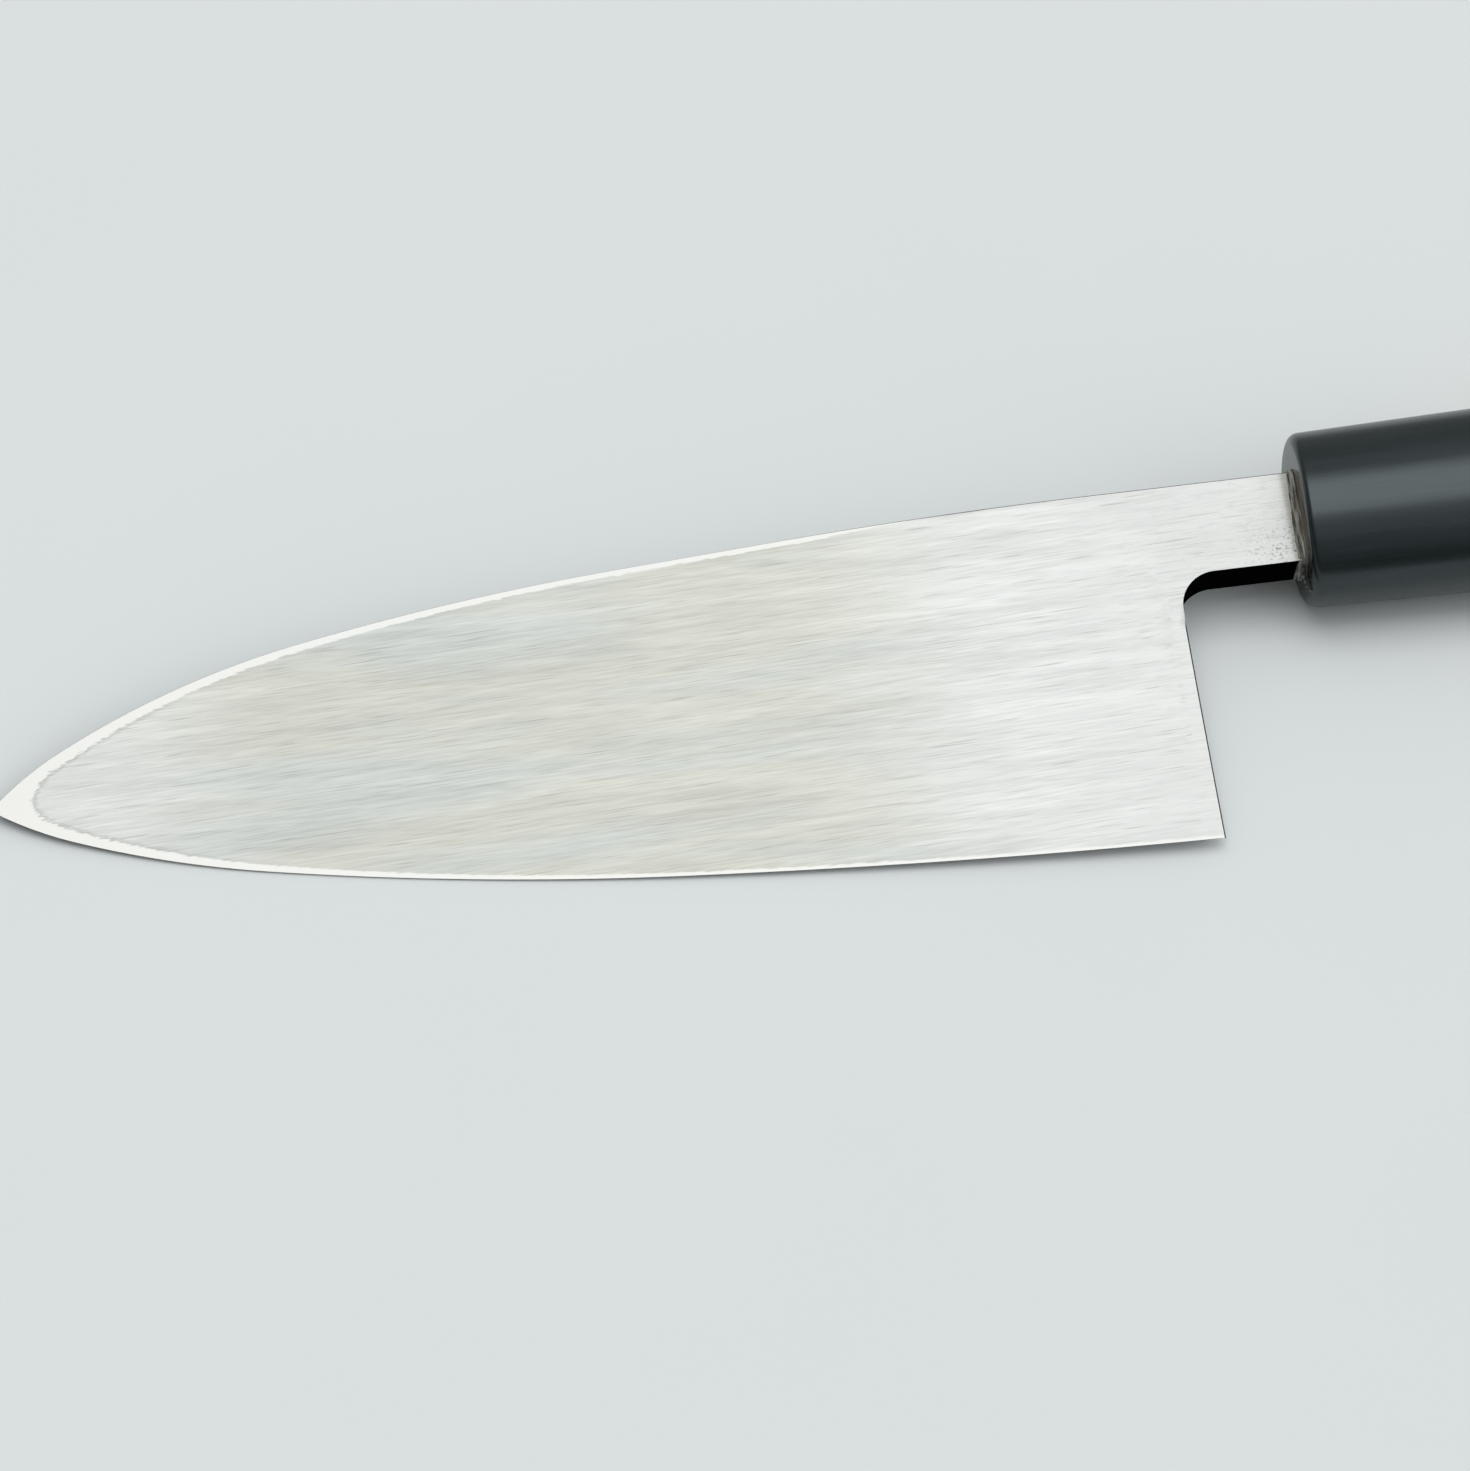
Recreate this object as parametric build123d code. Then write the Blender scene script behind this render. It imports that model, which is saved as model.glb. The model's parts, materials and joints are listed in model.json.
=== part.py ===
from build123d import *
import os
from math import atan2, cos, degrees, hypot, radians, sin, sqrt, tan

# A right-handed deba: a thick single-bevel fish knife, 165 mm from tip to heel.
# Knife frame: X runs along the handle to the butt, Y towards the spine and Z out of the flat
# back. The origin is on the handle's axis, in the plane of the ferrule's mouth.
# The last section lays the finished knife down on its bevelled side. Millimetres and degrees.

# Blade outline, seen on the flat back
blade_length = 165.0            # tip to heel, along the handle's axis
heel_height = 52.7              # spine to cutting edge at the heel
spine_rise = 6.2                # straight part of the spine above the handle's axis
tip_drop = 27.4                 # tip below the straight part of the spine
edge_toe_angle = 1.4            # slope of the cutting edge at the heel
# Shares of the blade length and of the tip's drop that the falling spine passes through
spine_shares = ((0.069, 0.0), (0.308, 0.0437), (0.466, 0.1016), (0.740, 0.3066),
                (0.940, 0.733), (1.0, 1.0))
# Shares of the blade length and of the edge's rise from heel to tip
edge_shares = ((0.0, 0.0), (0.446, 0.158), (0.779, 0.466), (0.933, 0.763), (1.0, 1.0))

# Neck, the bare steel between heel and ferrule
neck_length = 18.3
neck_height = 13.6
neck_thickness = 6.4            # also the thickness of the spine at the heel
choil_radius = 5.2

# Bevelled side
spine_tip_thickness = 1.9       # spine at the tip, after the taper
bevel_angle = 12.5              # wide bevel, from the edge up to the ridge line
micro_bevel_angle = 27.0        # honed strip along the very edge
micro_bevel_width = 0.7
edge_land = 0.12                # what the stones leave of the edge's thickness
spine_break = 0.35              # chamfer between the spine and the bevelled side

# Hollow in the flat back
rim_width = 0.7                 # flat rim left along spine and edge
nose_rim = 6.1                  # flat left in front of the tip's end of the hollow
nose_length = 9.0               # length over which the hollow rounds off towards the tip
wheel_radius = 620.0            # stone that hollows the back, across the blade
fade_length = 11.0              # length over which the hollow leaves the spine for the choil
fade_end_gap = 2.0              # from there to the heel, where the neck's flat begins
# Shares along nose, body and fade at which the hollow's section is drawn
nose_step_shares = (0.03, 0.15, 0.4, 0.7)
body_step_shares = (0.0, 0.04, 0.09, 0.16, 0.25, 0.36, 0.49, 0.63, 0.77, 0.90, 1.0)
fade_step_shares = (0.5, 0.8, 0.95, 1.0)

# Steel layers
hard_layer_share = 0.34         # hard steel as a share of the blade's thickness
hard_layer_neck_gap = 7.5       # hard steel ends this far ahead of the ferrule
scarf_angle = 35.0              # slope on which the hard steel runs out on the neck

# Tang, hidden in the handle
tang_length = 92.0
tang_shoulder = 1.0             # step from the neck to the tang, above and below
tang_side_shoulder = 0.5        # step from the neck to the tang, on both faces
tang_end_height = 6.0
tang_end_thickness = 3.2
bedding_thickness = 0.6         # resin round the tang

# Handle
handle_length = 130.0
ferrule_length = 30.0
tenon_wall = 0.5                # wood left at the corners of the tang's slot
ferrule_wall_high = 4.4         # horn above and below the tenon, at the mouth
ferrule_wall_side = 1.5         # horn on both sides of the tenon, at the mouth
oval_end_share = 0.84           # radius at the oval's top and bottom, of its half-thickness
glue_gap = 0.05                 # glue line round the tenon
ferrule_swell = 0.65            # the oval grows by this from the mouth to the ferrule's back
butt_swell = 1.05               # and by this from there to the butt
mouth_rounding = 1.4
butt_rounding = 2.4

# Resin bead round the neck at the mouth
bead_width = 0.9                # over the wood, away from the steel
bead_length = 1.3               # along the neck

# How the knife lies on its bevelled side
rest_pitch = 2.07               # tip down, until the bevel touches
rest_roll = 12.34               # edge down, balanced on the ferrule and the bevel

# One overrun lets every cut pass clear of what it cuts
overrun = 5.0

# Places that follow from the sizes
heel_x = -neck_length
tip_x = heel_x - blade_length
edge_heel_y = spine_rise - heel_height
tip_y = spine_rise - tip_drop
back_z = neck_thickness / 2
neck_bottom_y = spine_rise - neck_height
neck_middle_y = spine_rise - neck_height / 2
tang_root_height = neck_height - 2 * tang_shoulder
tang_root_thickness = neck_thickness - 2 * tang_side_shoulder
slot_corner_y = abs(neck_middle_y) + tang_root_height / 2 + bedding_thickness
slot_corner_z = tang_root_thickness / 2 + bedding_thickness
tenon_radius = hypot(slot_corner_y, slot_corner_z) + tenon_wall


# Outline

def tangent_arcs(points, direction):
    """Arcs through the points in turn, each one tangent to the arc before it."""
    arcs = []
    for start, end in zip(points, points[1:]):
        arcs.append(TangentArc(start, end, tangent=direction))
        direction = arcs[-1] % 1
    return arcs


def spine_arcs():
    """The falling part of the spine, from the heel's side to the tip."""
    points = [(heel_x - along * blade_length, spine_rise - down * tip_drop)
              for along, down in spine_shares]
    return tangent_arcs(points, (-1, 0))


def edge_arcs():
    """The cutting edge, from the heel to the tip."""
    rise = tip_y - edge_heel_y
    points = [(heel_x - along * blade_length, edge_heel_y + up * rise)
              for along, up in edge_shares]
    toe = radians(edge_toe_angle)
    return tangent_arcs(points, (-cos(toe), sin(toe)))


def height_at(arcs, x, inset):
    """Y of a row of arcs at x, once the row is moved towards the middle of the blade."""
    reaching_x = [arc for arc in arcs if (arc @ 1).X <= x]
    arc = reaching_x[0]
    centre = arc.arc_center
    bulge = 1 if (arc @ 0.5).Y > centre.Y else -1
    radius = arc.radius - inset
    return centre.Y + bulge * sqrt(max(radius ** 2 - (x - centre.X) ** 2, 0))


def blade_face():
    """Blade and neck in outline, up to the ferrule's mouth."""
    spine = spine_arcs()
    edge = edge_arcs()
    outline = [
        Line((0, spine_rise), spine[0] @ 0),
        *spine,
        *edge,
        Line((heel_x, edge_heel_y), (heel_x, neck_bottom_y)),
        Line((heel_x, neck_bottom_y), (0, neck_bottom_y)),
        Line((0, neck_bottom_y), (0, spine_rise)),
    ]
    face = make_face(outline)
    choil = face.vertices().sort_by_distance((heel_x, neck_bottom_y))[0]
    return fillet(choil, choil_radius)


# Blade

def side_profile(depth_at_neck, depth_at_tip):
    """Side view of a layer that starts at the flat back and tapers over the blade to the tip."""
    end_x = tip_x - overrun
    slope = (depth_at_neck - depth_at_tip) / blade_length
    end_depth = depth_at_tip - slope * overrun
    points = [(0, back_z), (end_x, back_z), (end_x, back_z - end_depth),
              (heel_x, back_z - depth_at_neck), (0, back_z - depth_at_neck)]
    return make_face(Plane.XZ * Polyline(*points, close=True))


def along_y(profile):
    """A side view drawn out over the full height of the blade."""
    return extrude(profile, heel_height + overrun, both=True)


def bevel_section():
    """What the stones clear from the edge inwards: X is the way in, Y the depth below the back."""
    ridge_depth = neck_thickness + overrun
    honed_depth = edge_land + micro_bevel_width * tan(radians(micro_bevel_angle))
    reach = micro_bevel_width + (ridge_depth - honed_depth) / tan(radians(bevel_angle))
    return Polyline((-overrun, edge_land), (0, edge_land), (micro_bevel_width, honed_depth),
                    (reach, ridge_depth), (-overrun, ridge_depth), close=True)


def section_plane(place, direction):
    """Plane across the cutting edge: its X points into the blade and its Y down from the back."""
    inwards = direction.cross(Vector(0, 0, 1))
    return Plane((place.X, place.Y, back_z), x_dir=inwards, z_dir=inwards.cross(Vector(0, 0, -1)))


def bevel_cuts():
    """The space cleared by stones that follow the cutting edge from heel to tip."""
    arcs = edge_arcs()
    section = make_face(bevel_section())
    cuts = []
    for arc in arcs:
        start = section_plane(arc @ 0, arc % 0)
        axis = Axis(arc.arc_center, (0, 0, -1))
        turn = degrees(arc.length / arc.radius)
        cuts.append(revolve(start * section, axis, turn))
    heel = section_plane(arcs[0] @ 0, arcs[0] % 0)
    tip = section_plane(arcs[-1] @ 1, arcs[-1] % 1)
    cuts.append(extrude(heel * section, overrun, dir=-(arcs[0] % 0)))
    cuts.append(extrude(tip * section, overrun, dir=arcs[-1] % 1))
    return cuts


def hollow_section(x, low, high):
    """Section of the hollow at x: a shallow arc between two heights of the rim."""
    sag = (high - low) ** 2 / (8 * wheel_radius)
    top = back_z + overrun
    floor = ThreePointArc((x, low, back_z), (x, (low + high) / 2, back_z - sag), (x, high, back_z))
    sides = Polyline((x, high, back_z), (x, high, top), (x, low, top), (x, low, back_z))
    return make_face([floor, *sides.edges()])


def fade_height(x, high):
    """Upper border of the hollow: it leaves the rim and drops to the choil."""
    into_fade = x - (heel_x - fade_end_gap - fade_length)
    if into_fade <= 0:
        return high
    drop = high - (neck_bottom_y - choil_radius)
    share = min(into_fade / fade_length, 1)
    return high - drop * (1 - sqrt(1 - share ** 2))


def hollow_cut():
    """The hollow of the flat back, ground across the blade from rim to rim."""
    spine = spine_arcs()
    edge = edge_arcs()
    nose_x = tip_x + nose_rim
    nose_end = nose_x + nose_length
    fade_start = heel_x - fade_end_gap - fade_length
    stations = [nose_x + share * nose_length for share in nose_step_shares]
    stations += [nose_end + share * (fade_start - nose_end) for share in body_step_shares]
    stations += [fade_start + share * fade_length for share in fade_step_shares]
    stations.append(heel_x + overrun)
    sections = []
    for x in stations:
        on_blade = min(x, heel_x)
        straight = on_blade > (spine[0] @ 0).X
        high = spine_rise - rim_width if straight else height_at(spine, on_blade, rim_width)
        high = fade_height(on_blade, high)
        low = height_at(edge, on_blade, rim_width)
        if x < nose_end:
            width = sqrt(1 - (1 - (x - nose_x) / nose_length) ** 2)
            middle = (high + low) / 2
            high = middle + (high - middle) * width
            low = middle + (low - middle) * width
        sections.append(hollow_section(x, low, high))
    return loft(sections, ruled=True)


def spine_corners(blade):
    """Edges below the flat back that follow the spine from the ferrule to the tip."""
    arcs = spine_arcs()
    spine = [Line((0, spine_rise), arcs[0] @ 0), *arcs]

    def follows_spine(corner):
        middle = corner @ 0.5
        level = abs((corner % 0.5).Z) < sin(radians(bevel_angle))
        over = Vertex(middle.X, middle.Y, 0)
        near = min(curve.distance_to(over) for curve in spine) < edge_land
        return level and near and middle.Z < back_z - edge_land

    return blade.edges().filter_by(follows_spine)


def ground_blade():
    """Blade and neck after the taper, the bevels and the hollow, before the layers are parted."""
    blank = extrude(blade_face(), neck_thickness, both=True)
    blade = blank & along_y(side_profile(neck_thickness, spine_tip_thickness))
    blade = chamfer(spine_corners(blade), spine_break)
    for cut in bevel_cuts():
        blade -= cut
    return blade - hollow_cut()


def hard_layer_space():
    """Space of the hard steel: a tapering layer below the back, run out on a scarf at the neck."""
    layer = along_y(side_profile(neck_thickness * hard_layer_share,
                                 spine_tip_thickness * hard_layer_share))
    depth = neck_thickness
    run = depth / tan(radians(scarf_angle))
    scarf = Polyline((-hard_layer_neck_gap, back_z), (-hard_layer_neck_gap - run, back_z - depth),
                     (overrun, back_z - depth), (overrun, back_z), close=True)
    return layer - along_y(make_face(Plane.XZ * scarf))


def tang_body(skin):
    """Tang inside the handle, or its slot where a skin of bedding is added all round."""
    root_high = tang_root_height / 2 + skin
    end_high = tang_end_height / 2 + skin
    root_side = tang_root_thickness / 2 + skin
    end_side = tang_end_thickness / 2 + skin
    end_x = tang_length + skin
    root = Plane.YZ * Pos(neck_middle_y, 0) * Rectangle(2 * root_high, 2 * root_side)
    end = Plane.YZ.offset(end_x) * Pos(neck_middle_y, 0) * Rectangle(2 * end_high, 2 * end_side)
    return loft([root, end], ruled=True)


# Handle

def handle_profile(radius):
    """Side view of one arc of the oval: from the arc's axis out to its radius, which grows."""
    back_radius = radius + ferrule_swell
    butt_radius = back_radius + butt_swell
    outline = Polyline((0, 0), (0, radius), (ferrule_length, back_radius),
                       (handle_length, butt_radius), (handle_length, 0), close=True)
    face = make_face(outline)
    mouth = face.vertices().sort_by_distance((0, radius))[0]
    face = fillet(mouth, mouth_rounding)
    butt = face.vertices().sort_by_distance((handle_length, butt_radius))[0]
    return fillet(butt, butt_rounding)


def handle_blank():
    """Ferrule and grip in one: an oval of four tangent arcs, each turned about its own axis."""
    high = tenon_radius + ferrule_wall_high
    side = tenon_radius + ferrule_wall_side
    end_radius = oval_end_share * side
    end_y = high - end_radius
    side_radius = (end_y ** 2 + side ** 2 - end_radius ** 2) / (2 * (side - end_radius))
    side_z = side_radius - side
    joint = degrees(atan2(side_z, end_y))
    blank = Part()
    for centre_y, centre_z, radius, first, last in (
        (end_y, 0, end_radius, -joint, joint),
        (0, -side_z, side_radius, joint, 180 - joint),
        (-end_y, 0, end_radius, 180 - joint, 180 + joint),
        (0, side_z, side_radius, 180 + joint, 360 - joint),
    ):
        start = Pos(0, centre_y, centre_z) * Rotation(first, 0, 0) * handle_profile(radius)
        blank += revolve(start, Axis((0, centre_y, centre_z), (1, 0, 0)), last - first)
    return blank


def tenon():
    """Round tenon of the grip, filling the ferrule from end to end."""
    return extrude(Plane.YZ * Circle(tenon_radius), ferrule_length)


def ferrule_space():
    """The part of the handle ahead of the ferrule's back face."""
    size = 2 * (tenon_radius + ferrule_wall_high + ferrule_swell + overrun)
    return extrude(Plane.YZ * Rectangle(size, size), ferrule_length)


def make_ferrule(blank):
    """Horn ferrule with a through bore for the tenon."""
    bore = extrude(Plane.YZ * Circle(tenon_radius + glue_gap), ferrule_length + overrun)
    return (blank & ferrule_space()) - bore


def make_grip(blank):
    """Wooden grip with its tenon and the slot that takes the tang."""
    body = (blank - ferrule_space()) + tenon()
    return body - tang_body(bedding_thickness)


def make_bead():
    """Resin bead round the neck on the end grain, thinning out along the steel."""
    middle = Pos(neck_middle_y, 0)
    foot = Plane.YZ * middle * Rectangle(neck_height + 2 * bead_width, neck_thickness + 2 * bead_width)
    crest = Plane.YZ.offset(-bead_length) * middle * Rectangle(
        neck_height + bead_width / 2, neck_thickness + bead_width / 2)
    neck = Plane.YZ * middle * Rectangle(neck_height, neck_thickness)
    return loft([foot, crest], ruled=True) - extrude(neck, overrun, both=True)


# Pieces

blade = ground_blade()
hard_space = hard_layer_space()
handle = handle_blank()
tang = tang_body(0)

pieces = {
    "soft_iron_body": (blade - hard_space) + tang,
    "hard_steel_layer": blade & hard_space,
    "ferrule": make_ferrule(handle),
    "handle_grip": make_grip(handle),
    "tang_bedding": tang_body(bedding_thickness) - tang,
    "mouth_bead": make_bead(),
}

# The knife laid on its bevelled side, centred over the origin with its lowest point at zero
lying = Rotation(0, -rest_pitch, 0) * Rotation(rest_roll, 0, 0)
laid = {name: lying * piece for name, piece in pieces.items()}
box = Compound([solid for piece in laid.values() for solid in piece.solids()]).bounding_box()
to_origin = Pos(-box.center().X, -box.center().Y, -box.min.Z)

os.makedirs("parts", exist_ok=True)
for name, piece in laid.items():
    export_step(to_origin * piece, f"parts/{name}.step")
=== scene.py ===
"""Looks of a right-handed deba knife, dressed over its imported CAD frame.

Everything is built in the knife's own frame: X along the handle to the butt, Y towards the spine
and Z out of the flat back, with the origin on the handle's axis in the plane of the ferrule's
mouth. One placement, read from the record's mounts, carries it into the row frame. Sizes are in
millimetres and become metres when a mesh is made.
"""

import json
import logging
import math
from dataclasses import dataclass
from enum import Enum
from functools import cached_property

import bmesh
import bpy
import numpy as np
from mathutils import Euler, Matrix, Vector, noise

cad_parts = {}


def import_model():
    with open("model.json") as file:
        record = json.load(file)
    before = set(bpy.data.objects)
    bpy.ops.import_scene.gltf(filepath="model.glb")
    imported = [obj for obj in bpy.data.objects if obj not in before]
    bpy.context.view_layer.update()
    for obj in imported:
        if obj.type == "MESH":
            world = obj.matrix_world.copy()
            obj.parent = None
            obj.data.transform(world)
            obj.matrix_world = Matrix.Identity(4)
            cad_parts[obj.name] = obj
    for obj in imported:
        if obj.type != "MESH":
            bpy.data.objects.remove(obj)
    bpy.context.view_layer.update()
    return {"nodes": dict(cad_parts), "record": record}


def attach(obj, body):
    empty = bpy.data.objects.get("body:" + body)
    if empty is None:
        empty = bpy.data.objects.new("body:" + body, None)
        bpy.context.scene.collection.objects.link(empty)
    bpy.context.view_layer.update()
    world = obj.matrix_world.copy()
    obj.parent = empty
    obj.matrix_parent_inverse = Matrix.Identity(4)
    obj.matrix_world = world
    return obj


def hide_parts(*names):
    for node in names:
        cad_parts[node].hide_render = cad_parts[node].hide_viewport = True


LOG = logging.getLogger("deba")
MM = 0.001
BODY = "root"
WELDED_MM = 0.0005

Span = tuple[float, float]
Point = tuple[float, float, float]
Row = tuple[object, ...]
# Name, cell in millimetres, detail, distortion and turn in degrees of a noise.
Pattern = tuple[str, Point, float, float, float]


class Slot(Enum):
    """Material slots of the record that the pieces stand for; each piece names its slot in the
    log.
    """

    SOFT_IRON = "soft_iron"
    HARD_STEEL = "hard_steel"
    BLACK_HORN = "black_horn"
    MAGNOLIA = "magnolia_wood"
    BEDDING = "bedding_resin"
    BEAD = "bead_resin"


def linear(colour: str) -> tuple[float, float, float, float]:
    """Turns an sRGB hex colour into the linear values that a shader takes.

    Args:
        colour: Six hex digits after a hash.

    Returns:
        Red, green, blue and an alpha of 1.
    """
    parts = [int(colour[i:i + 2], 16) / 255 for i in (1, 3, 5)]
    red, green, blue = (
        part / 12.92 if part <= 0.04045 else ((part + 0.055) / 1.055) ** 2.4 for part in parts
    )
    return red, green, blue, 1.0


def clamped(share: float) -> float:
    """Keeps a share between 0 and 1."""
    return min(max(share, 0.0), 1.0)


def around(count: int) -> list[Span]:
    """Cosines and sines of so many even steps round a circle."""
    angles = [2 * math.pi * i / count for i in range(count)]
    return [(math.cos(angle), math.sin(angle)) for angle in angles]


def quarter(count: int) -> list[float]:
    """Angles of a quarter turn in so many even steps, in radians, with both ends."""
    return [math.radians(90 * i / count) for i in range(count + 1)]


def add_node(
    tree: bpy.types.NodeTree,
    kind: str,
    inputs: dict[int | str, object] | None = None,
    **settings: object,
) -> bpy.types.Node:
    """Adds a node to a tree with its settings, values and links.

    Args:
        tree: The node tree that gets the node.
        kind: Blender's type name of the node.
        inputs: For each input socket a value, an output socket, or a node whose first output
            in use feeds it.
        **settings: Properties of the node itself.

    Returns:
        The new node.
    """
    made = tree.nodes.new(kind)
    for name, value in settings.items():
        setattr(made, name, value)
    for socket, value in (inputs or {}).items():
        if isinstance(value, bpy.types.Node):
            value = next(output for output in value.outputs if output.enabled)
        if isinstance(value, bpy.types.NodeSocket):
            tree.links.new(value, made.inputs[socket])
        else:
            made.inputs[socket].default_value = value
    return made


# Placement


@dataclass(frozen=True)
class KnifePlace:
    """Where the knife's own frame lies in the row frame, from the record's mounts."""

    matrix: Matrix

    @classmethod
    def from_record(cls, record: dict, shape: "BladeShape") -> "KnifePlace":
        """Reads the placement from the mounts of the flat back and the sheath's slide.

        Args:
            record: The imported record.
            shape: The blade's sizes, which say where the slide starts on the knife.

        Returns:
            The placement.
        """
        mounts = {mount["name"]: mount for mount in record["mounts"]}
        slide, back = mounts["sheath_slide"], mounts["flat_back"]
        x_axis = -Vector(slide["axis"]).normalized()
        z_axis = Vector(back["axis"])
        z_axis = (z_axis - x_axis * z_axis.dot(x_axis)).normalized()
        turn = Matrix((x_axis, z_axis.cross(x_axis), z_axis)).transposed()
        middle = (shape.spine_rise + shape.edge_heel_y) / 2
        start = Vector((shape.heel_x, middle, 0.0)) * MM
        origin = Vector(slide["pos_m"]) - turn @ start
        return cls(Matrix.Translation(origin) @ turn.to_4x4())

    def point(self, place: Point) -> Vector:
        """Carries a place in knife millimetres into the row frame, in metres."""
        return self.matrix @ (Vector(place) * MM)

    def direction(self, way: Point) -> Vector:
        """Carries a direction from the knife's frame into the row frame."""
        return (self.matrix.to_3x3() @ Vector(way)).normalized()

    def pattern(self, size_mm: Point, turn_degrees: float = 0.0) -> dict[str, Vector | Euler]:
        """Values for a texture mapping that lays a pattern along the knife.

        Args:
            size_mm: Size of the pattern's cell along X, Y and Z of the knife.
            turn_degrees: How far the pattern is turned on the flat back.

        Returns:
            Location, rotation and scale.
        """
        turned = self.matrix @ Matrix.Rotation(math.radians(turn_degrees), 4, "Z")
        return {
            "Location": turned.translation,
            "Rotation": turned.to_euler(),
            "Scale": Vector(size_mm) * MM,
        }


# Finishes


class Step(Enum):
    """Steps that a finish is made of: a node's type, its sockets in order and its settings."""

    MAP = ("ShaderNodeMapping", (0, 1, 2, 3), {"vector_type": "TEXTURE"})
    SPLIT = ("ShaderNodeSeparateXYZ", (0,), {})
    NOISE = ("ShaderNodeTexNoise", ("Vector", "Scale", "Detail", "Distortion"), {})
    HOLLOW = ("ShaderNodeAttribute", (), {"attribute_name": "hollow_mm"})
    BUMP = ("ShaderNodeBump", ("Strength", "Distance", "Height"), {})
    RANGE = ("ShaderNodeMapRange", (0, 1, 2, 3, 4), {})
    SMOOTH = ("ShaderNodeMapRange", (0, 1, 2, 3, 4), {"interpolation_type": "SMOOTHSTEP"})
    LEVEL = ("ShaderNodeMapRange", (0, 3, 4), {})
    BLEND = ("ShaderNodeMix", (0, 6, 7), {"data_type": "RGBA"})
    DARKEN = ("ShaderNodeMix", (0, 6, 7), {"data_type": "RGBA", "blend_type": "MULTIPLY"})
    EVEN = ("ShaderNodeMix", (0, 2, 3), {})
    TIMES = ("ShaderNodeMath", (0, 1), {"operation": "MULTIPLY"})
    PLUS = ("ShaderNodeMath", (0, 1), {"operation": "ADD"})
    LESS = ("ShaderNodeMath", (0, 1), {"operation": "SUBTRACT"})
    TIMES_PLUS = ("ShaderNodeMath", (0, 1, 2), {"operation": "MULTIPLY_ADD"})
    POWER = ("ShaderNodeMath", (0, 1), {"operation": "POWER"})
    SIZE = ("ShaderNodeMath", (0,), {"operation": "ABSOLUTE"})


def add_steps(tree: bpy.types.NodeTree, made: dict[str, object], rows: tuple[Row, ...]) -> None:
    """Adds nodes in turn, each of which may read the ones before it by name.

    Args:
        tree: The node tree that gets the nodes.
        made: Nodes and sockets by name, to which the new nodes are added.
        rows: For each node its name, its step and its inputs, which are numbers, hex colours
            or names. A name with spaces in it names the node's outputs in order.
    """
    for name, step, *inputs in rows:
        kind, sockets, settings = step.value
        values = [
            value if not isinstance(value, str)
            else linear(value) if value.startswith("#")
            else made[value]
            for value in inputs
        ]
        node = add_node(tree, kind, dict(zip(sockets, values)), **settings)
        if " " in name:
            made.update(zip(name.split(), node.outputs))
        else:
            made[name] = node


@dataclass(frozen=True)
class Finish:
    """What every finish shares: its name, the knife's place and the patterns along it."""

    place: KnifePlace
    name: str = "finish"
    patterns: tuple[Pattern, ...] = ()

    def steps(self) -> tuple[Row, ...]:
        """Steps from the patterns to what the surface's sockets read."""
        raise NotImplementedError

    def sockets(self) -> dict[str, object]:
        """The surface's sockets, with a value or the name of a step for each."""
        raise NotImplementedError

    def laid(self) -> tuple[Row, ...]:
        """Steps that lay the noises along the knife.

        Returns:
            The steps.
        """
        rows = []
        for name, cell_mm, *values, turn in self.patterns:
            laid = self.place.pattern(cell_mm, turn).values()
            rows += [("spot", Step.MAP, "object", *laid), (name, Step.NOISE, "spot", 1.0, *values)]
        return tuple(rows)

    def in_mm(self) -> tuple[Row, ...]:
        """Steps that read x and y on the knife in millimetres."""
        one_mm = self.place.pattern((1.0, 1.0, 1.0)).values()
        return ("spot", Step.MAP, "object", *one_mm), ("x y", Step.SPLIT, "spot")

    def material(self) -> bpy.types.Material:
        """Builds the material.

        Returns:
            The material.
        """
        material = bpy.data.materials.new(self.name)
        material.use_nodes = True
        tree = material.node_tree
        tree.nodes.clear()
        texture = add_node(tree, "ShaderNodeTexCoord")
        made = {"object": texture.outputs["Object"], "normal": texture.outputs["Normal"]}
        add_steps(tree, made, self.laid() + self.steps())
        values = {socket: made.get(value, value) for socket, value in self.sockets().items()}
        surface = add_node(tree, "ShaderNodeBsdfPrincipled", values)
        add_node(tree, "ShaderNodeOutputMaterial", {"Surface": surface})
        return material


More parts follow.
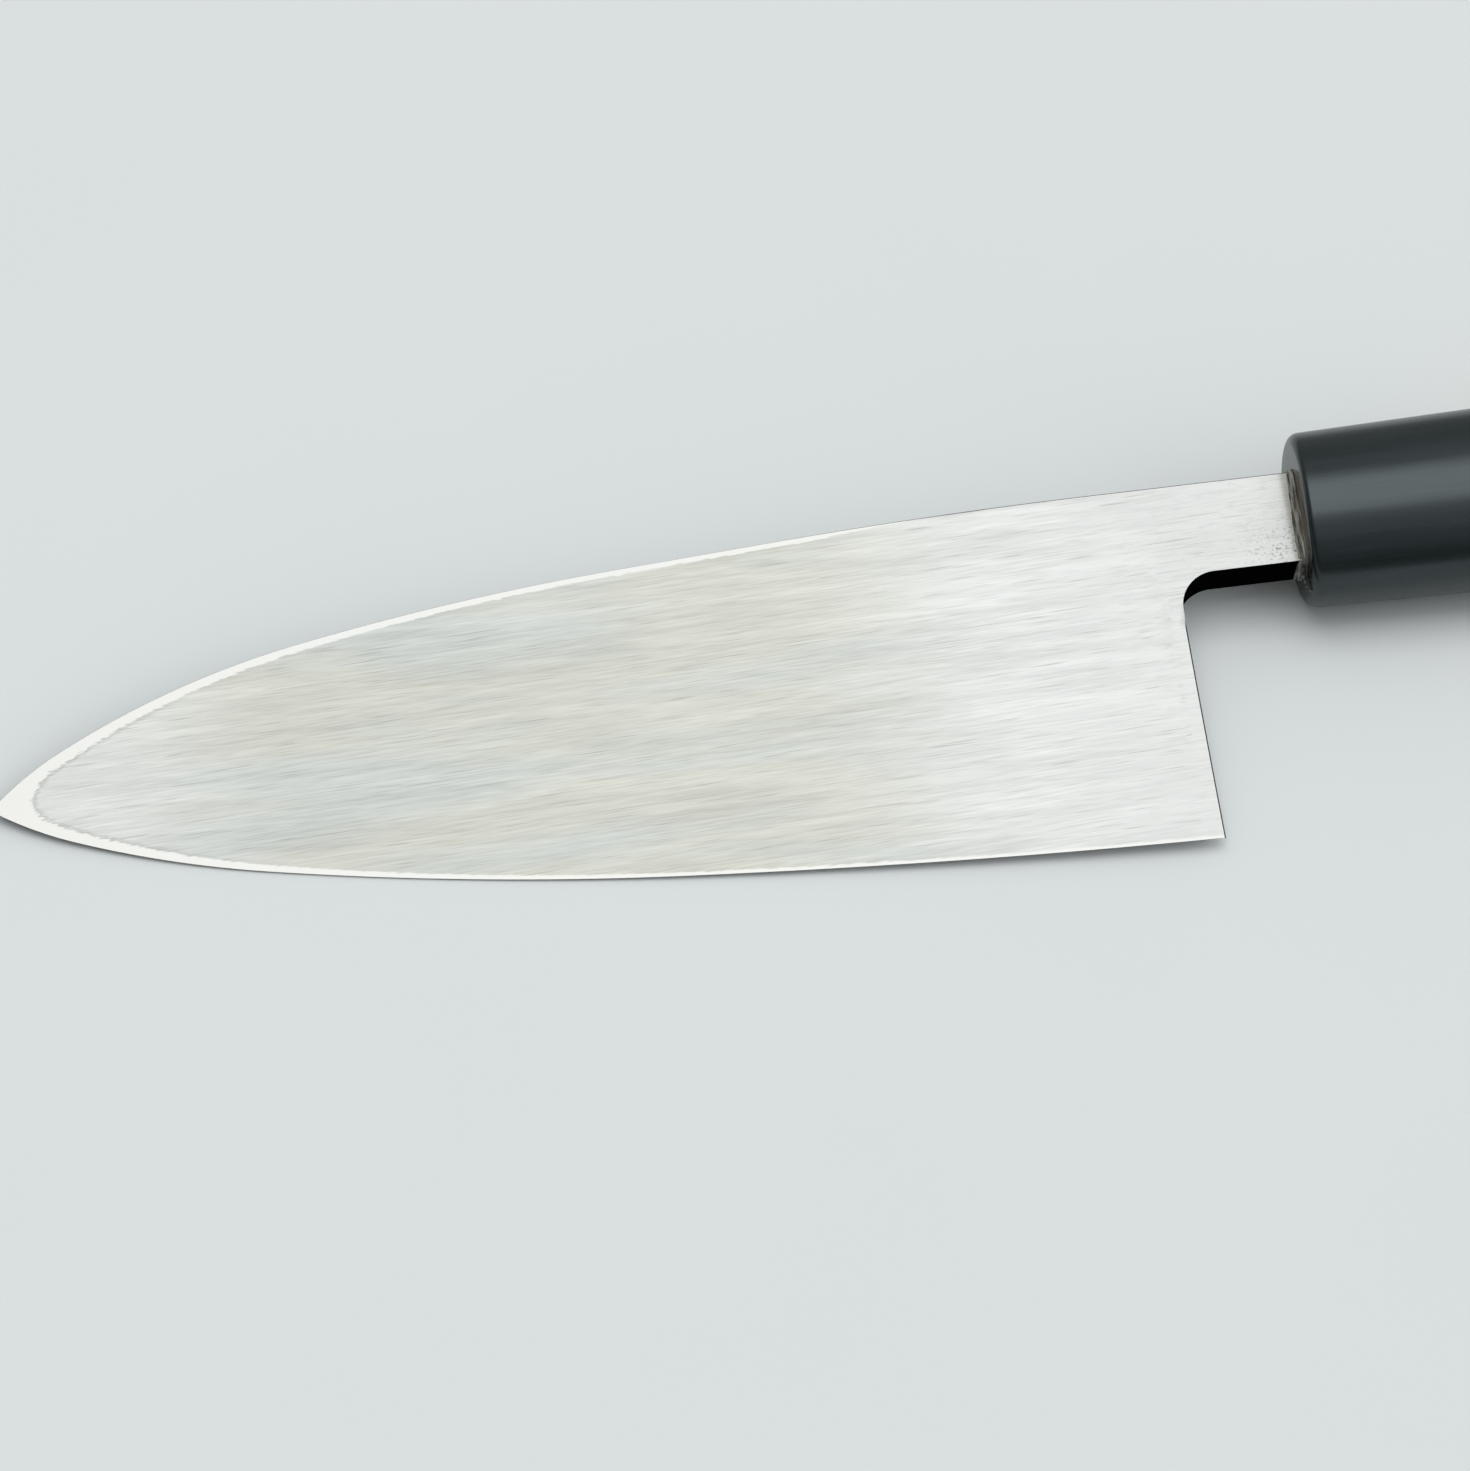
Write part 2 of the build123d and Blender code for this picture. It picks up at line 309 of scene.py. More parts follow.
@dataclass(frozen=True)
class ForgedSteel(Finish):
    """Forge-welded blade steel: brushed above, stone-polished rim, scale on its narrow sides, and
    a painted dark reflection on the spine's eased corner.
    """

    # To the eye: silky grey with long fine streaks in warmer and cooler bands, an almost white
    # rim where the flat stone touched, a hazy bevel below, and scale wherever no stone or brush
    # reached: dead black on the low sides, rubbed to a dark grey on the spine. The eased corner
    # between the flat back and the spine takes that dark grey too, as a painted dark reflection
    # on what is polished steel. The finest brush marks are about 0.05 mm wide and are drawn
    # 0.15 mm wide, so that they show.
    name: str = "forged_steel"
    warm: str = "#A6A69E"
    cool: str = "#A1A4A1"
    bright: str = "#B1B2B0"
    dash: str = "#70716B"
    rim: str = "#A5A5A2"
    below: str = "#979A9B"
    haze: str = "#6F7273"
    haze_share: float = 0.0
    scale: str = "#050505"
    # This dark grey also colours the eased corner along the spine, where it is a painted dark
    # reflection.
    spine: str = "#4C4D4D"
    pit: str = "#55544A"
    stain: str = "#6E6D5F"
    rough_brushed: float = 0.44
    rough_rim: float = 0.28
    rough_below: float = 0.26
    patterns: tuple[Pattern, ...] = (
        ("streak", (9.5, 0.28, 0.28), 2.0, 0.0, 3.0),
        ("fine", (3.6, 0.15, 0.15), 2.0, 0.0, 0.0),
        ("ribbon", (17.0, 1.1, 1.1), 2.0, 0.0, -1.5),
        ("band", (38.0, 4.2, 4.2), 2.0, 0.0, 1.0),
        ("tint", (55.0, 9.0, 9.0), 2.0, 0.0, -1.0),
        ("dashes", (7.0, 0.15, 0.15), 0.0, 0.0, 2.0),
        ("ragged", (1.7, 0.2, 0.2), 2.0, 0.0, 4.0),
        ("clouds", (1.6, 0.8, 0.8), 3.0, 0.0, 0.0),
        ("pits", (0.42, 0.3, 0.3), 2.0, 0.0, 0.0),
    )
    shares: tuple[tuple[str, float], ...] = (
        ("streak", 0.34), ("fine", 0.27), ("ribbon", 0.28), ("band", 0.25)
    )
    towards_neck_mm: Span = (-78.0, -40.0)
    behind_nose_mm: Span = (-174.0, -138.0)
    torn_from_nose_mm: Span = (-177.0, -158.0)
    calm_from_heel_mm: Span = (-40.0, -16.0)
    onto_neck_mm: Span = (-34.0, -10.0)
    towards_mouth_mm: Span = (-10.0, -2.0)
    stained_mm: Span = (-2.1, -1.1)
    damp_below_mm: Span = (1.0, -5.0)
    relief_mm: float = 0.005

    def steps(self) -> tuple[Row, ...]:
        """Steps from the patterns to what the surface's sockets read.

        Returns:
            The steps for the brushed hollow, its rim, the bevel, the neck in the handle's
            mouth, and the scale.
        """
        turned = ((0.0, 0.0, 0.0), self.place.matrix.to_euler())
        even = 1 - 0.5 * sum(share for _, share in self.shares)
        brush_marks = (
            ("shade", Step.TIMES_PLUS, label, share, "shade" if i else even)
            for i, (label, share) in enumerate(self.shares)
        )
        return (
            *self.in_mm(),
            ("turned", Step.MAP, "normal", *turned),
            ("_ to_y to_z", Step.SPLIT, "turned"),
            ("_ _ worn", Step.HOLLOW),
            ("tinted", Step.RANGE, "tint", 0.42, 0.6),
            ("brushed", Step.BLEND, "tinted", self.warm, self.cool),
            ("near_neck", Step.SMOOTH, "x", *self.towards_neck_mm),
            ("near_nose", Step.SMOOTH, "x", *self.behind_nose_mm, 1.0, 0.0),
            ("lit", Step.TIMES_PLUS, "near_nose", 0.95, "near_neck"),
            ("brushed", Step.BLEND, "lit", "brushed", self.bright),
            *brush_marks,
            ("calm", Step.RANGE, "x", *self.calm_from_heel_mm, 0.0, 0.55),
            ("shade", Step.EVEN, "calm", "shade", 1.0),
            ("brushed", Step.DARKEN, 1.0, "brushed", "shade"),
            ("dashed", Step.RANGE, "dashes", 0.68, 0.80, 0.0, 0.4),
            ("brushed", Step.BLEND, "dashed", "brushed", self.dash),
            ("cloudy", Step.RANGE, "clouds", 0.52, 0.72, 0.0, 0.12),
            ("on_neck", Step.RANGE, "x", *self.onto_neck_mm),
            ("mottle", Step.TIMES, "cloudy", "on_neck"),
            ("brushed", Step.BLEND, "mottle", "brushed", self.haze),
            ("torn", Step.RANGE, "x", *self.torn_from_nose_mm, 1.3, 0.5),
            ("jitter", Step.RANGE, "ragged", 0.2, 0.8, -0.5, 0.5),
            ("jitter", Step.TIMES, "jitter", "torn"),
            ("border", Step.PLUS, "worn", "jitter"),
            ("in_hollow", Step.SMOOTH, "border", -0.05, 0.09),
            ("brink", Step.RANGE, "border", 0.05, 0.65, 0.45, 0.0),
            ("brink", Step.TIMES, "brink", "near_nose"),
            ("brushed", Step.BLEND, "brink", "brushed", self.dash),
            ("above", Step.BLEND, "in_hollow", self.rim, "brushed"),
            ("above_rough", Step.LEVEL, "in_hollow", self.rough_rim, self.rough_brushed),
            ("cloud", Step.RANGE, "clouds", 0.32, 0.68, 0.0, self.haze_share),
            ("under", Step.BLEND, "cloud", self.below, self.haze),
            ("under", Step.BLEND, 0.35, "under", "brushed"),
            ("upward", Step.RANGE, "to_z", -0.2, 0.2),
            ("steel", Step.BLEND, "upward", "under", "above"),
            ("rough", Step.LEVEL, "upward", self.rough_below, "above_rough"),
            ("stained", Step.SMOOTH, "x", *self.stained_mm, 0.0, 0.55),
            ("steel", Step.BLEND, "stained", "steel", self.stain),
            ("mouth", Step.RANGE, "x", *self.towards_mouth_mm),
            ("low", Step.RANGE, "y", *self.damp_below_mm, 0.1, 1.0),
            ("damp", Step.TIMES, "mouth", "low"),
            ("speck", Step.RANGE, "pits", 0.59, 0.66, 0.0, 0.8),
            ("pitted", Step.TIMES, "speck", "damp"),
            ("steel", Step.BLEND, "pitted", "steel", self.pit),
            # Faces turned from about 31 to 42 degrees off the flat back fade into scale: the
            # narrow sides, where it is real, and the 45-degree eased corner along the spine, where
            # it is a painted dark reflection.
            ("across", Step.SIZE, "to_z"),
            ("scale_and_corner_shade", Step.RANGE, "across", 0.74, 0.86, 1.0, 0.0),
            ("spineward", Step.RANGE, "to_y", -0.2, 0.2),
            ("crust_and_corner_shade", Step.BLEND, "spineward", self.scale, self.spine),
            ("colour", Step.BLEND, "scale_and_corner_shade", "steel", "crust_and_corner_shade"),
            ("metal", Step.LESS, 1.0, "scale_and_corner_shade"),
            ("height", Step.LESS, "shade", "pitted"),
            ("relief", Step.BUMP, 1.0, self.relief_mm * MM, "height"),
        )

    def sockets(self) -> dict[str, object]:
        """The surface's sockets, with a value or the name of a step for each."""
        return {
            "Base Color": "colour",
            "Metallic": "metal",
            "Roughness": "rough",
            "Specular IOR Level": 0.0,
            "Normal": "relief",
        }


@dataclass(frozen=True)
class BuffaloHorn(Finish):
    """Black buffalo horn, turned and buffed."""

    # To the eye: near black with a cool soft band of light, faint grey clouds drawn out along
    # the ring and very fine buffing lines.
    name: str = "black_buffalo_horn"
    dark: str = "#0F1516"
    cloud: str = "#1B2122"
    sheen: str = "#E4F3F6"
    patterns: tuple[Pattern, ...] = (
        ("clouds", (40.0, 2.4, 2.4), 2.0, 0.0, 0.0),
        ("line", (14.0, 0.4, 0.4), 2.0, 0.0, 0.0),
    )
    rough: Span = (0.22, 0.28)
    relief_mm: float = 0.0015

    def steps(self) -> tuple[Row, ...]:
        """Steps from the patterns to what the surface's sockets read."""
        return (
            ("clouded", Step.RANGE, "clouds", 0.4, 0.75),
            ("colour", Step.BLEND, "clouded", self.dark, self.cloud),
            ("rough", Step.RANGE, "line", 0.3, 0.7, *self.rough),
            ("relief", Step.BUMP, 1.0, self.relief_mm * MM, "line"),
        )

    def sockets(self) -> dict[str, object]:
        """The surface's sockets, with a value or the name of a step for each."""
        return {
            "Base Color": "colour",
            "Roughness": "rough",
            "IOR": 1.54,
            "Specular IOR Level": 0.6,
            "Specular Tint": linear(self.sheen),
            "Normal": "relief",
        }


@dataclass(frozen=True)
class MagnoliaWood(Finish):
    """Japanese magnolia, sanded and left bare."""

    # To the eye: pale cream with a faint olive cast and straight close grain along the handle,
    # faint brown rings on the butt's end grain, and grey-brown lines on the end grain in the
    # mouth, where resin and grinding dust went into it.
    name: str = "bare_magnolia"
    pale: str = "#D8C6A2"
    late: str = "#BFA77E"
    olive: str = "#B9AE8A"
    pore: str = "#94794F"
    end: str = "#C6AF86"
    end_late: str = "#B79F76"
    soiled: str = "#857D70"
    soiled_late: str = "#38332D"
    patterns: tuple[Pattern, ...] = (
        ("rings", (160.0, 2.1, 2.1), 4.0, 0.8, 0.0),
        ("clouds", (70.0, 7.0, 7.0), 2.0, 0.0, 0.0),
        ("pores", (2.6, 0.14, 0.14), 2.0, 0.0, 0.0),
        ("cuts", (20.0, 6.0, 0.42), 4.0, 0.4, 0.0),
    )
    soiled_to_mm: Span = (3.0, 6.0)
    rough: float = 0.62
    relief_mm: float = 0.012

    def steps(self) -> tuple[Row, ...]:
        """Steps from the patterns to what the surface's sockets read."""
        return (
            *self.in_mm(),
            ("ring", Step.RANGE, "rings", 0.35, 0.65),
            ("side", Step.BLEND, "ring", self.pale, self.late),
            ("cloud", Step.RANGE, "clouds", 0.35, 0.7, 0.0, 0.5),
            ("side", Step.BLEND, "cloud", "side", self.olive),
            ("pore", Step.RANGE, "pores", 0.6, 0.78, 0.0, 0.45),
            ("side", Step.BLEND, "pore", "side", self.pore),
            ("cut", Step.RANGE, "cuts", 0.44, 0.60),
            ("soiled", Step.BLEND, "cut", self.soiled, self.soiled_late),
            ("clean", Step.BLEND, "ring", self.end, self.end_late),
            ("at_butt", Step.RANGE, "x", *self.soiled_to_mm),
            ("end", Step.BLEND, "at_butt", "soiled", "clean"),
            ("to_x", Step.SPLIT, "normal"),
            ("along", Step.SIZE, "to_x"),
            ("on_end", Step.RANGE, "along", 0.75, 0.95),
            ("colour", Step.BLEND, "on_end", "side", "end"),
            ("height", Step.LESS, "ring", "pore"),
            ("relief", Step.BUMP, 1.0, self.relief_mm * MM, "height"),
        )

    def sockets(self) -> dict[str, object]:
        """The surface's sockets, with a value or the name of a step for each."""
        return {"Base Color": "colour", "Roughness": self.rough, "IOR": 1.45, "Normal": "relief"}


@dataclass(frozen=True)
class CuredResin(Finish):
    """Pine resin that was melted in and has set, with grinding dust in it."""

    # To the eye: an uneven dull grey-brown, darker in the hollows of its bumps as painted shade,
    # with a few light specks.
    name: str = "cured_resin"
    dark: str = "#141312"
    light: str = "#57554F"
    speck: str = "#A5A39C"
    patterns: tuple[Pattern, ...] = (
        ("lumps", (0.8, 0.8, 0.8), 4.0, 0.0, 0.0),
        ("dust", (0.22, 0.22, 0.22), 2.0, 0.0, 0.0),
    )
    rough: float = 0.42
    relief_mm: float = 0.08

    def steps(self) -> tuple[Row, ...]:
        """Steps from the patterns to what the surface's sockets read."""
        return (
            # One noise gives both the colour and the bumps, so the dark colour lies in the bumps'
            # hollows: painted shade.
            ("lumpy", Step.RANGE, "lumps", 0.38, 0.62),
            ("dusty", Step.RANGE, "dust", 0.66, 0.74, 0.0, 0.6),
            ("colour", Step.BLEND, "lumpy", self.dark, self.light),
            ("colour", Step.BLEND, "dusty", "colour", self.speck),
            ("relief", Step.BUMP, 1.0, self.relief_mm * MM, "lumpy"),
        )

    def sockets(self) -> dict[str, object]:
        """The surface's sockets, with a value or the name of a step for each."""
        return {"Base Color": "colour", "Roughness": self.rough, "Normal": "relief"}


@dataclass(frozen=True)
class PaleBoard(Finish):
    """Matt acrylic board under the knife."""

    # To the eye: even cool white with a barely visible mottle.
    name: str = "matt_board"
    colour: str = "#D5D8D8"
    shade: str = "#D3D6D6"
    patterns: tuple[Pattern, ...] = (
        ("mottle", (60.0, 60.0, 60.0), 2.0, 0.0, 0.0),
    )
    rough: float = 0.9

    def steps(self) -> tuple[Row, ...]:
        """Steps from the patterns to what the surface's sockets read."""
        return (("colour", Step.BLEND, "mottle", self.colour, self.shade),)

    def sockets(self) -> dict[str, object]:
        """The surface's sockets, with a value or the name of a step for each."""
        return {"Base Color": "colour", "Roughness": self.rough, "Specular IOR Level": 0.0}


# Meshes


def mesh_piece(
    made: bmesh.types.BMesh,
    name: str,
    place: KnifePlace,
    finish: bpy.types.Material,
    sharp_degrees: float = 28.0,
) -> bpy.types.Object:
    """Turns a mesh drawn in knife millimetres into a smooth-shaded piece in its place.

    Args:
        made: The mesh, whose vertices may hold a crease layer. It is freed.
        name: Name of the piece.
        place: Placement of the knife.
        finish: Material of the piece.
        sharp_degrees: Edges turned by more than this stay sharp.

    Returns:
        The piece.
    """
    bmesh.ops.remove_doubles(made, verts=made.verts, dist=WELDED_MM)
    bmesh.ops.recalc_face_normals(made, faces=made.faces)
    crease = made.verts.layers.int.get("crease")
    for face in made.faces:
        face.smooth = True
    for edge in made.edges:
        first, second = edge.verts
        creased = crease is not None and first[crease] > 0 and first[crease] == second[crease]
        turned = len(edge.link_faces) == 2 and edge.calc_face_angle(0.0) > math.radians(
            sharp_degrees
        )
        edge.smooth = not (creased or turned)
    bmesh.ops.scale(made, vec=(MM, MM, MM), verts=made.verts)
    bmesh.ops.transform(made, matrix=place.matrix, verts=made.verts)
    data = bpy.data.meshes.new(name)
    made.to_mesh(data)
    made.free()
    data.materials.append(finish)
    piece = bpy.data.objects.new(name, data)
    bpy.context.scene.collection.objects.link(piece)
    return piece


def settle(piece: bpy.types.Object, slot: Slot, *nodes: str) -> bpy.types.Object:
    """Lets a piece ride on the knife's body and stand for the CAD nodes it is drawn over.

    Args:
        piece: The piece.
        slot: Material slot of the record.
        *nodes: CAD nodes that it replaces.

    Returns:
        The same piece.
    """
    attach(piece, BODY)
    if nodes:
        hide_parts(*nodes)
    LOG.info("%s: %d faces, slot %s", piece.name, len(piece.data.polygons), slot.value)
    return piece


# Blade


@dataclass(frozen=True)
class Arc:
    """One arc of the blade's outline on the flat back, in millimetres."""

    centre_x: float
    centre_y: float
    radius: float
    end_x: float

    def height(self, x: float, inset: float, side: int) -> float:
        """Y of the arc at x, once it is drawn into the blade.

        Args:
            x: Place along the knife.
            inset: How far the arc is drawn in.
            side: 1 for an arc above its centre, -1 for one below.

        Returns:
            The height.
        """
        reach = (self.radius - inset) ** 2 - (x - self.centre_x) ** 2
        return self.centre_y + side * math.sqrt(max(reach, 0.0))


def tangent_arcs(points: list[Span], way: Span) -> list[Arc]:
    """Arcs through the points in turn, each tangent to the one before it.

    Args:
        points: Points on the flat back.
        way: Unit direction at the first point.

    Returns:
        The arcs.
    """
    arcs = []
    for (ax, ay), (bx, by) in zip(points, points[1:]):
        dx, dy = bx - ax, by - ay
        nx, ny = -way[1], way[0]
        radius = (dx * dx + dy * dy) / (2 * (nx * dx + ny * dy))
        arcs.append(Arc(ax + nx * radius, ay + ny * radius, abs(radius), bx))
        chord = math.hypot(dx, dy)
        ux, uy = dx / chord, dy / chord
        along = way[0] * ux + way[1] * uy
        way = (2 * along * ux - way[0], 2 * along * uy - way[1])
    return arcs


@dataclass(frozen=True)
class BladeShape:
    """Sizes of blade, neck and tang, and the surfaces that follow from them."""

    length: float = 165.0
    heel_height: float = 52.7
    spine_rise: float = 6.2
    tip_drop: float = 27.4
    toe_degrees: float = 1.4
    spine_shares: tuple[Span, ...] = (
        (0.069, 0.0), (0.308, 0.0437), (0.466, 0.1016), (0.740, 0.3066), (0.940, 0.733), (1.0, 1.0)
    )
    edge_shares: tuple[Span, ...] = (
        (0.0, 0.0), (0.446, 0.158), (0.779, 0.466), (0.933, 0.763), (1.0, 1.0)
    )
    neck_length: float = 18.3
    neck_height: float = 13.6
    thick: float = 6.4
    tip_thick: float = 1.9
    choil_radius: float = 5.2
    bevel_degrees: float = 12.5
    honed_degrees: float = 27.0
    honed_width: float = 0.7
    edge_land: float = 0.04
    nose_rim: float = 6.1
    nose_length: float = 9.0
    wheel_radius: float = 620.0
    fade_length: float = 11.0
    fade_gap: float = 2.0
    hard_share: float = 0.34
    hard_neck_gap: float = 7.5
    scarf_degrees: float = 35.0
    tang_length: float = 92.0
    tang_root: Span = (11.6, 5.4)
    tang_end: Span = (6.0, 3.2)
    # Polished rims: width far from the tip, what it gains at the nose, and over what length
    # that fades. The one along the spine ends towards the heel.
    edge_rim: Point = (0.42, 1.35, 30.0)
    spine_rim: Point = (0.74, 1.1, 34.0)
    spine_rim_ends_x: float = -68.0
    spine_rim_fade: float = 34.0
    spine_rim_loss: float = 1.5
    least_rim: float = 0.5
    rim_blend: float = 1.5
    nose_blend: float = 3.0
    nose_reach: float = 0.7
    edge_samples: int = 2400
    edge_samples_from: float = 30.0

    @property
    def heel_x(self) -> float:
        """X of the heel."""
        return -self.neck_length

    @property
    def tip_x(self) -> float:
        """X of the tip."""
        return self.heel_x - self.length

    @property
    def tip_y(self) -> float:
        """Y of the tip."""
        return self.spine_rise - self.tip_drop

    @property
    def edge_heel_y(self) -> float:
        """Y of the cutting edge at the heel."""
        return self.spine_rise - self.heel_height

    @property
    def back_z(self) -> float:
        """Z of the flat back."""
        return self.thick / 2

    @property
    def neck_low_y(self) -> float:
        """Y of the neck's underside."""
        return self.spine_rise - self.neck_height

    @property
    def choil_y(self) -> float:
        """Y at which the choil's curve leaves the straight heel."""
        return self.neck_low_y - self.choil_radius

    @cached_property
    def spine_arcs(self) -> list[Arc]:
        """The falling part of the spine, from the heel's side to the tip."""
        points = [
            (self.heel_x - along * self.length, self.spine_rise - down * self.tip_drop)
            for along, down in self.spine_shares
        ]
        return tangent_arcs(points, (-1.0, 0.0))

    @cached_property
    def edge_arcs(self) -> list[Arc]:
        """The cutting edge, from the heel to the tip."""
        rise = self.tip_y - self.edge_heel_y
        points = [
            (self.heel_x - along * self.length, self.edge_heel_y + up * rise)
            for along, up in self.edge_shares
        ]
        toe = math.radians(self.toe_degrees)
        return tangent_arcs(points, (-math.cos(toe), math.sin(toe)))

    @cached_property
    def edge_line(self) -> np.ndarray:
        """Points along the cutting edge, close enough together to measure distances from."""
        start = self.heel_x + self.edge_samples_from
        xs = np.linspace(start, self.tip_x, self.edge_samples)
        return np.array([(x, self.edge_y(x)) for x in xs])

    def spine_y(self, x: float, inset: float = 0.0) -> float:
        """Y of the spine at x, or of a line drawn in from it."""
        if x > self.heel_x - self.spine_shares[0][0] * self.length:
            return self.spine_rise - inset
        arc = next((a for a in self.spine_arcs if a.end_x <= x), self.spine_arcs[-1])
        return arc.height(x, inset, 1)

    def edge_y(self, x: float, inset: float = 0.0) -> float:
        """Y of the cutting edge at x, or of a line drawn in from it."""
        arc = next((a for a in self.edge_arcs if a.end_x <= x), self.edge_arcs[-1])
        return arc.height(x, inset, -1)

    def low_y(self, x: float) -> float:
        """Y of the lower outline at x: choil and neck, behind the heel."""
        from_centre = x - (self.heel_x + self.choil_radius)
        if from_centre >= 0:
            return self.neck_low_y
        return self.choil_y + math.sqrt(max(self.choil_radius**2 - from_centre**2, 0.0))

    def thickness(self, x: float) -> float:
        """Thickness of the blade at x, before the bevel."""
        share = clamped((self.heel_x - x) / self.length)
        return self.thick + (self.tip_thick - self.thick) * share

    def inset_at_depth(self, depth: float) -> float:
        """Distance from the cutting edge at which the bevel is this deep below the back."""
        honed = self.edge_land + self.honed_width * math.tan(math.radians(self.honed_degrees))
        return self.honed_width + (depth - honed) / math.tan(math.radians(self.bevel_degrees))

    def bevel_depth(self, x: float, y: float) -> float:
        """Depth of the bevelled side below the back at a place on the blade."""
        if x > self.heel_x + self.choil_radius:
            return self.thick
        gap = self.edge_line - (x, y)
        away = float(np.sqrt((gap**2).sum(axis=1).min()))
        honed_slope = math.tan(math.radians(self.honed_degrees))
        if away < self.honed_width:
            return self.edge_land + away * honed_slope
        deep = self.edge_land + self.honed_width * honed_slope
        deep += (away - self.honed_width) * math.tan(math.radians(self.bevel_degrees))
        return min(deep, self.thickness(x))

    def hard_depth(self, x: float) -> float:
        """Depth of the weld between the two steels below the back."""
        layer = self.hard_share * self.thickness(x)
        scarf = (-self.hard_neck_gap - x) * math.tan(math.radians(self.scarf_degrees))
        return min(layer, max(scarf, 0.0))

    def rim_widths(self, x: float) -> Span:
        """Widths of the polished rim at x, as the stones have worn it.

        Args:
            x: Place along the knife.

        Returns:
            Width along the edge and along the spine, the latter below zero where it has gone.
        """
        from_nose = max(x - self.tip_x - self.nose_rim, 0.0)
        gone = clamped((x - self.spine_rim_ends_x) / self.spine_rim_fade)
        lower, upper = (
            wide + gain * math.exp(-from_nose / fade)
            for wide, gain, fade in (self.edge_rim, self.spine_rim)
        )
        return lower, upper - self.spine_rim_loss * gone

    def hollow_limits(self, x: float) -> Span:
        """Lower and upper border of the hollow at x.

        Args:
            x: Place along the knife.

        Returns:
            Both heights, equal where there is no hollow.
        """
        nose_x = self.tip_x + self.nose_rim
        lower, upper = self.rim_widths(x)
        low, high = self.edge_y(x, lower), self.spine_y(x, max(upper, self.least_rim))
        if x <= nose_x:
            middle = (low + high) / 2
            return middle, middle
        if x < nose_x + self.nose_length:
            middle = (low + high) / 2
            width = math.sqrt(1 - (1 - (x - nose_x) / self.nose_length) ** 2)
            return middle + (low - middle) * width, middle + (high - middle) * width
        into_fade = (x - (self.heel_x - self.fade_gap - self.fade_length)) / self.fade_length
        if into_fade > 0:
            high -= (high - self.choil_y) * (1 - math.sqrt(1 - min(into_fade, 1.0) ** 2))
        return low, high

    def hollow_depth(self, x: float, y: float) -> float:
        """Depth of the hollow at a place on the flat back."""
        if x > self.heel_x:
            return 0.0
        low, high = self.hollow_limits(x)
        return max((high - y) * (y - low), 0.0) / (2 * self.wheel_radius)

    def inside_hollow(self, x: float, y: float) -> float:
        """How far a place lies inside the brushed hollow.

        Args:
            x: Place along the knife.
            y: Height on the flat back.

        Returns:
            Millimetres inside the border, negative on the polished rim.
        """
        x = min(x, self.heel_x)
        lower, upper = self.rim_widths(x)
        spine, edge = self.spine_y(x), self.edge_y(x)
        fall = math.hypot(1.0, spine - self.spine_y(x - 1.0))
        rise = math.hypot(1.0, edge - self.edge_y(x - 1.0))
        from_spine, from_edge = (spine - y) / fall - upper, (y - edge) / rise - lower
        inside = smooth_least(from_spine, from_edge, self.rim_blend)
        from_nose = x - self.tip_x - self.nose_rim + self.nose_reach
        return smooth_least(inside, from_nose, self.nose_blend)


def smooth_least(first: float, second: float, blend: float) -> float:
    """The smaller of two distances, rounded over where they are within the blend of each other."""
    near = max(blend - abs(first - second), 0.0) / blend
    return min(first, second) - near * near * blend / 4


@dataclass
class Section:
    """One section across the blade: points from the edge to the spine, above and below."""

    x: float
    top: list[Span]
    bottom: list[Span]


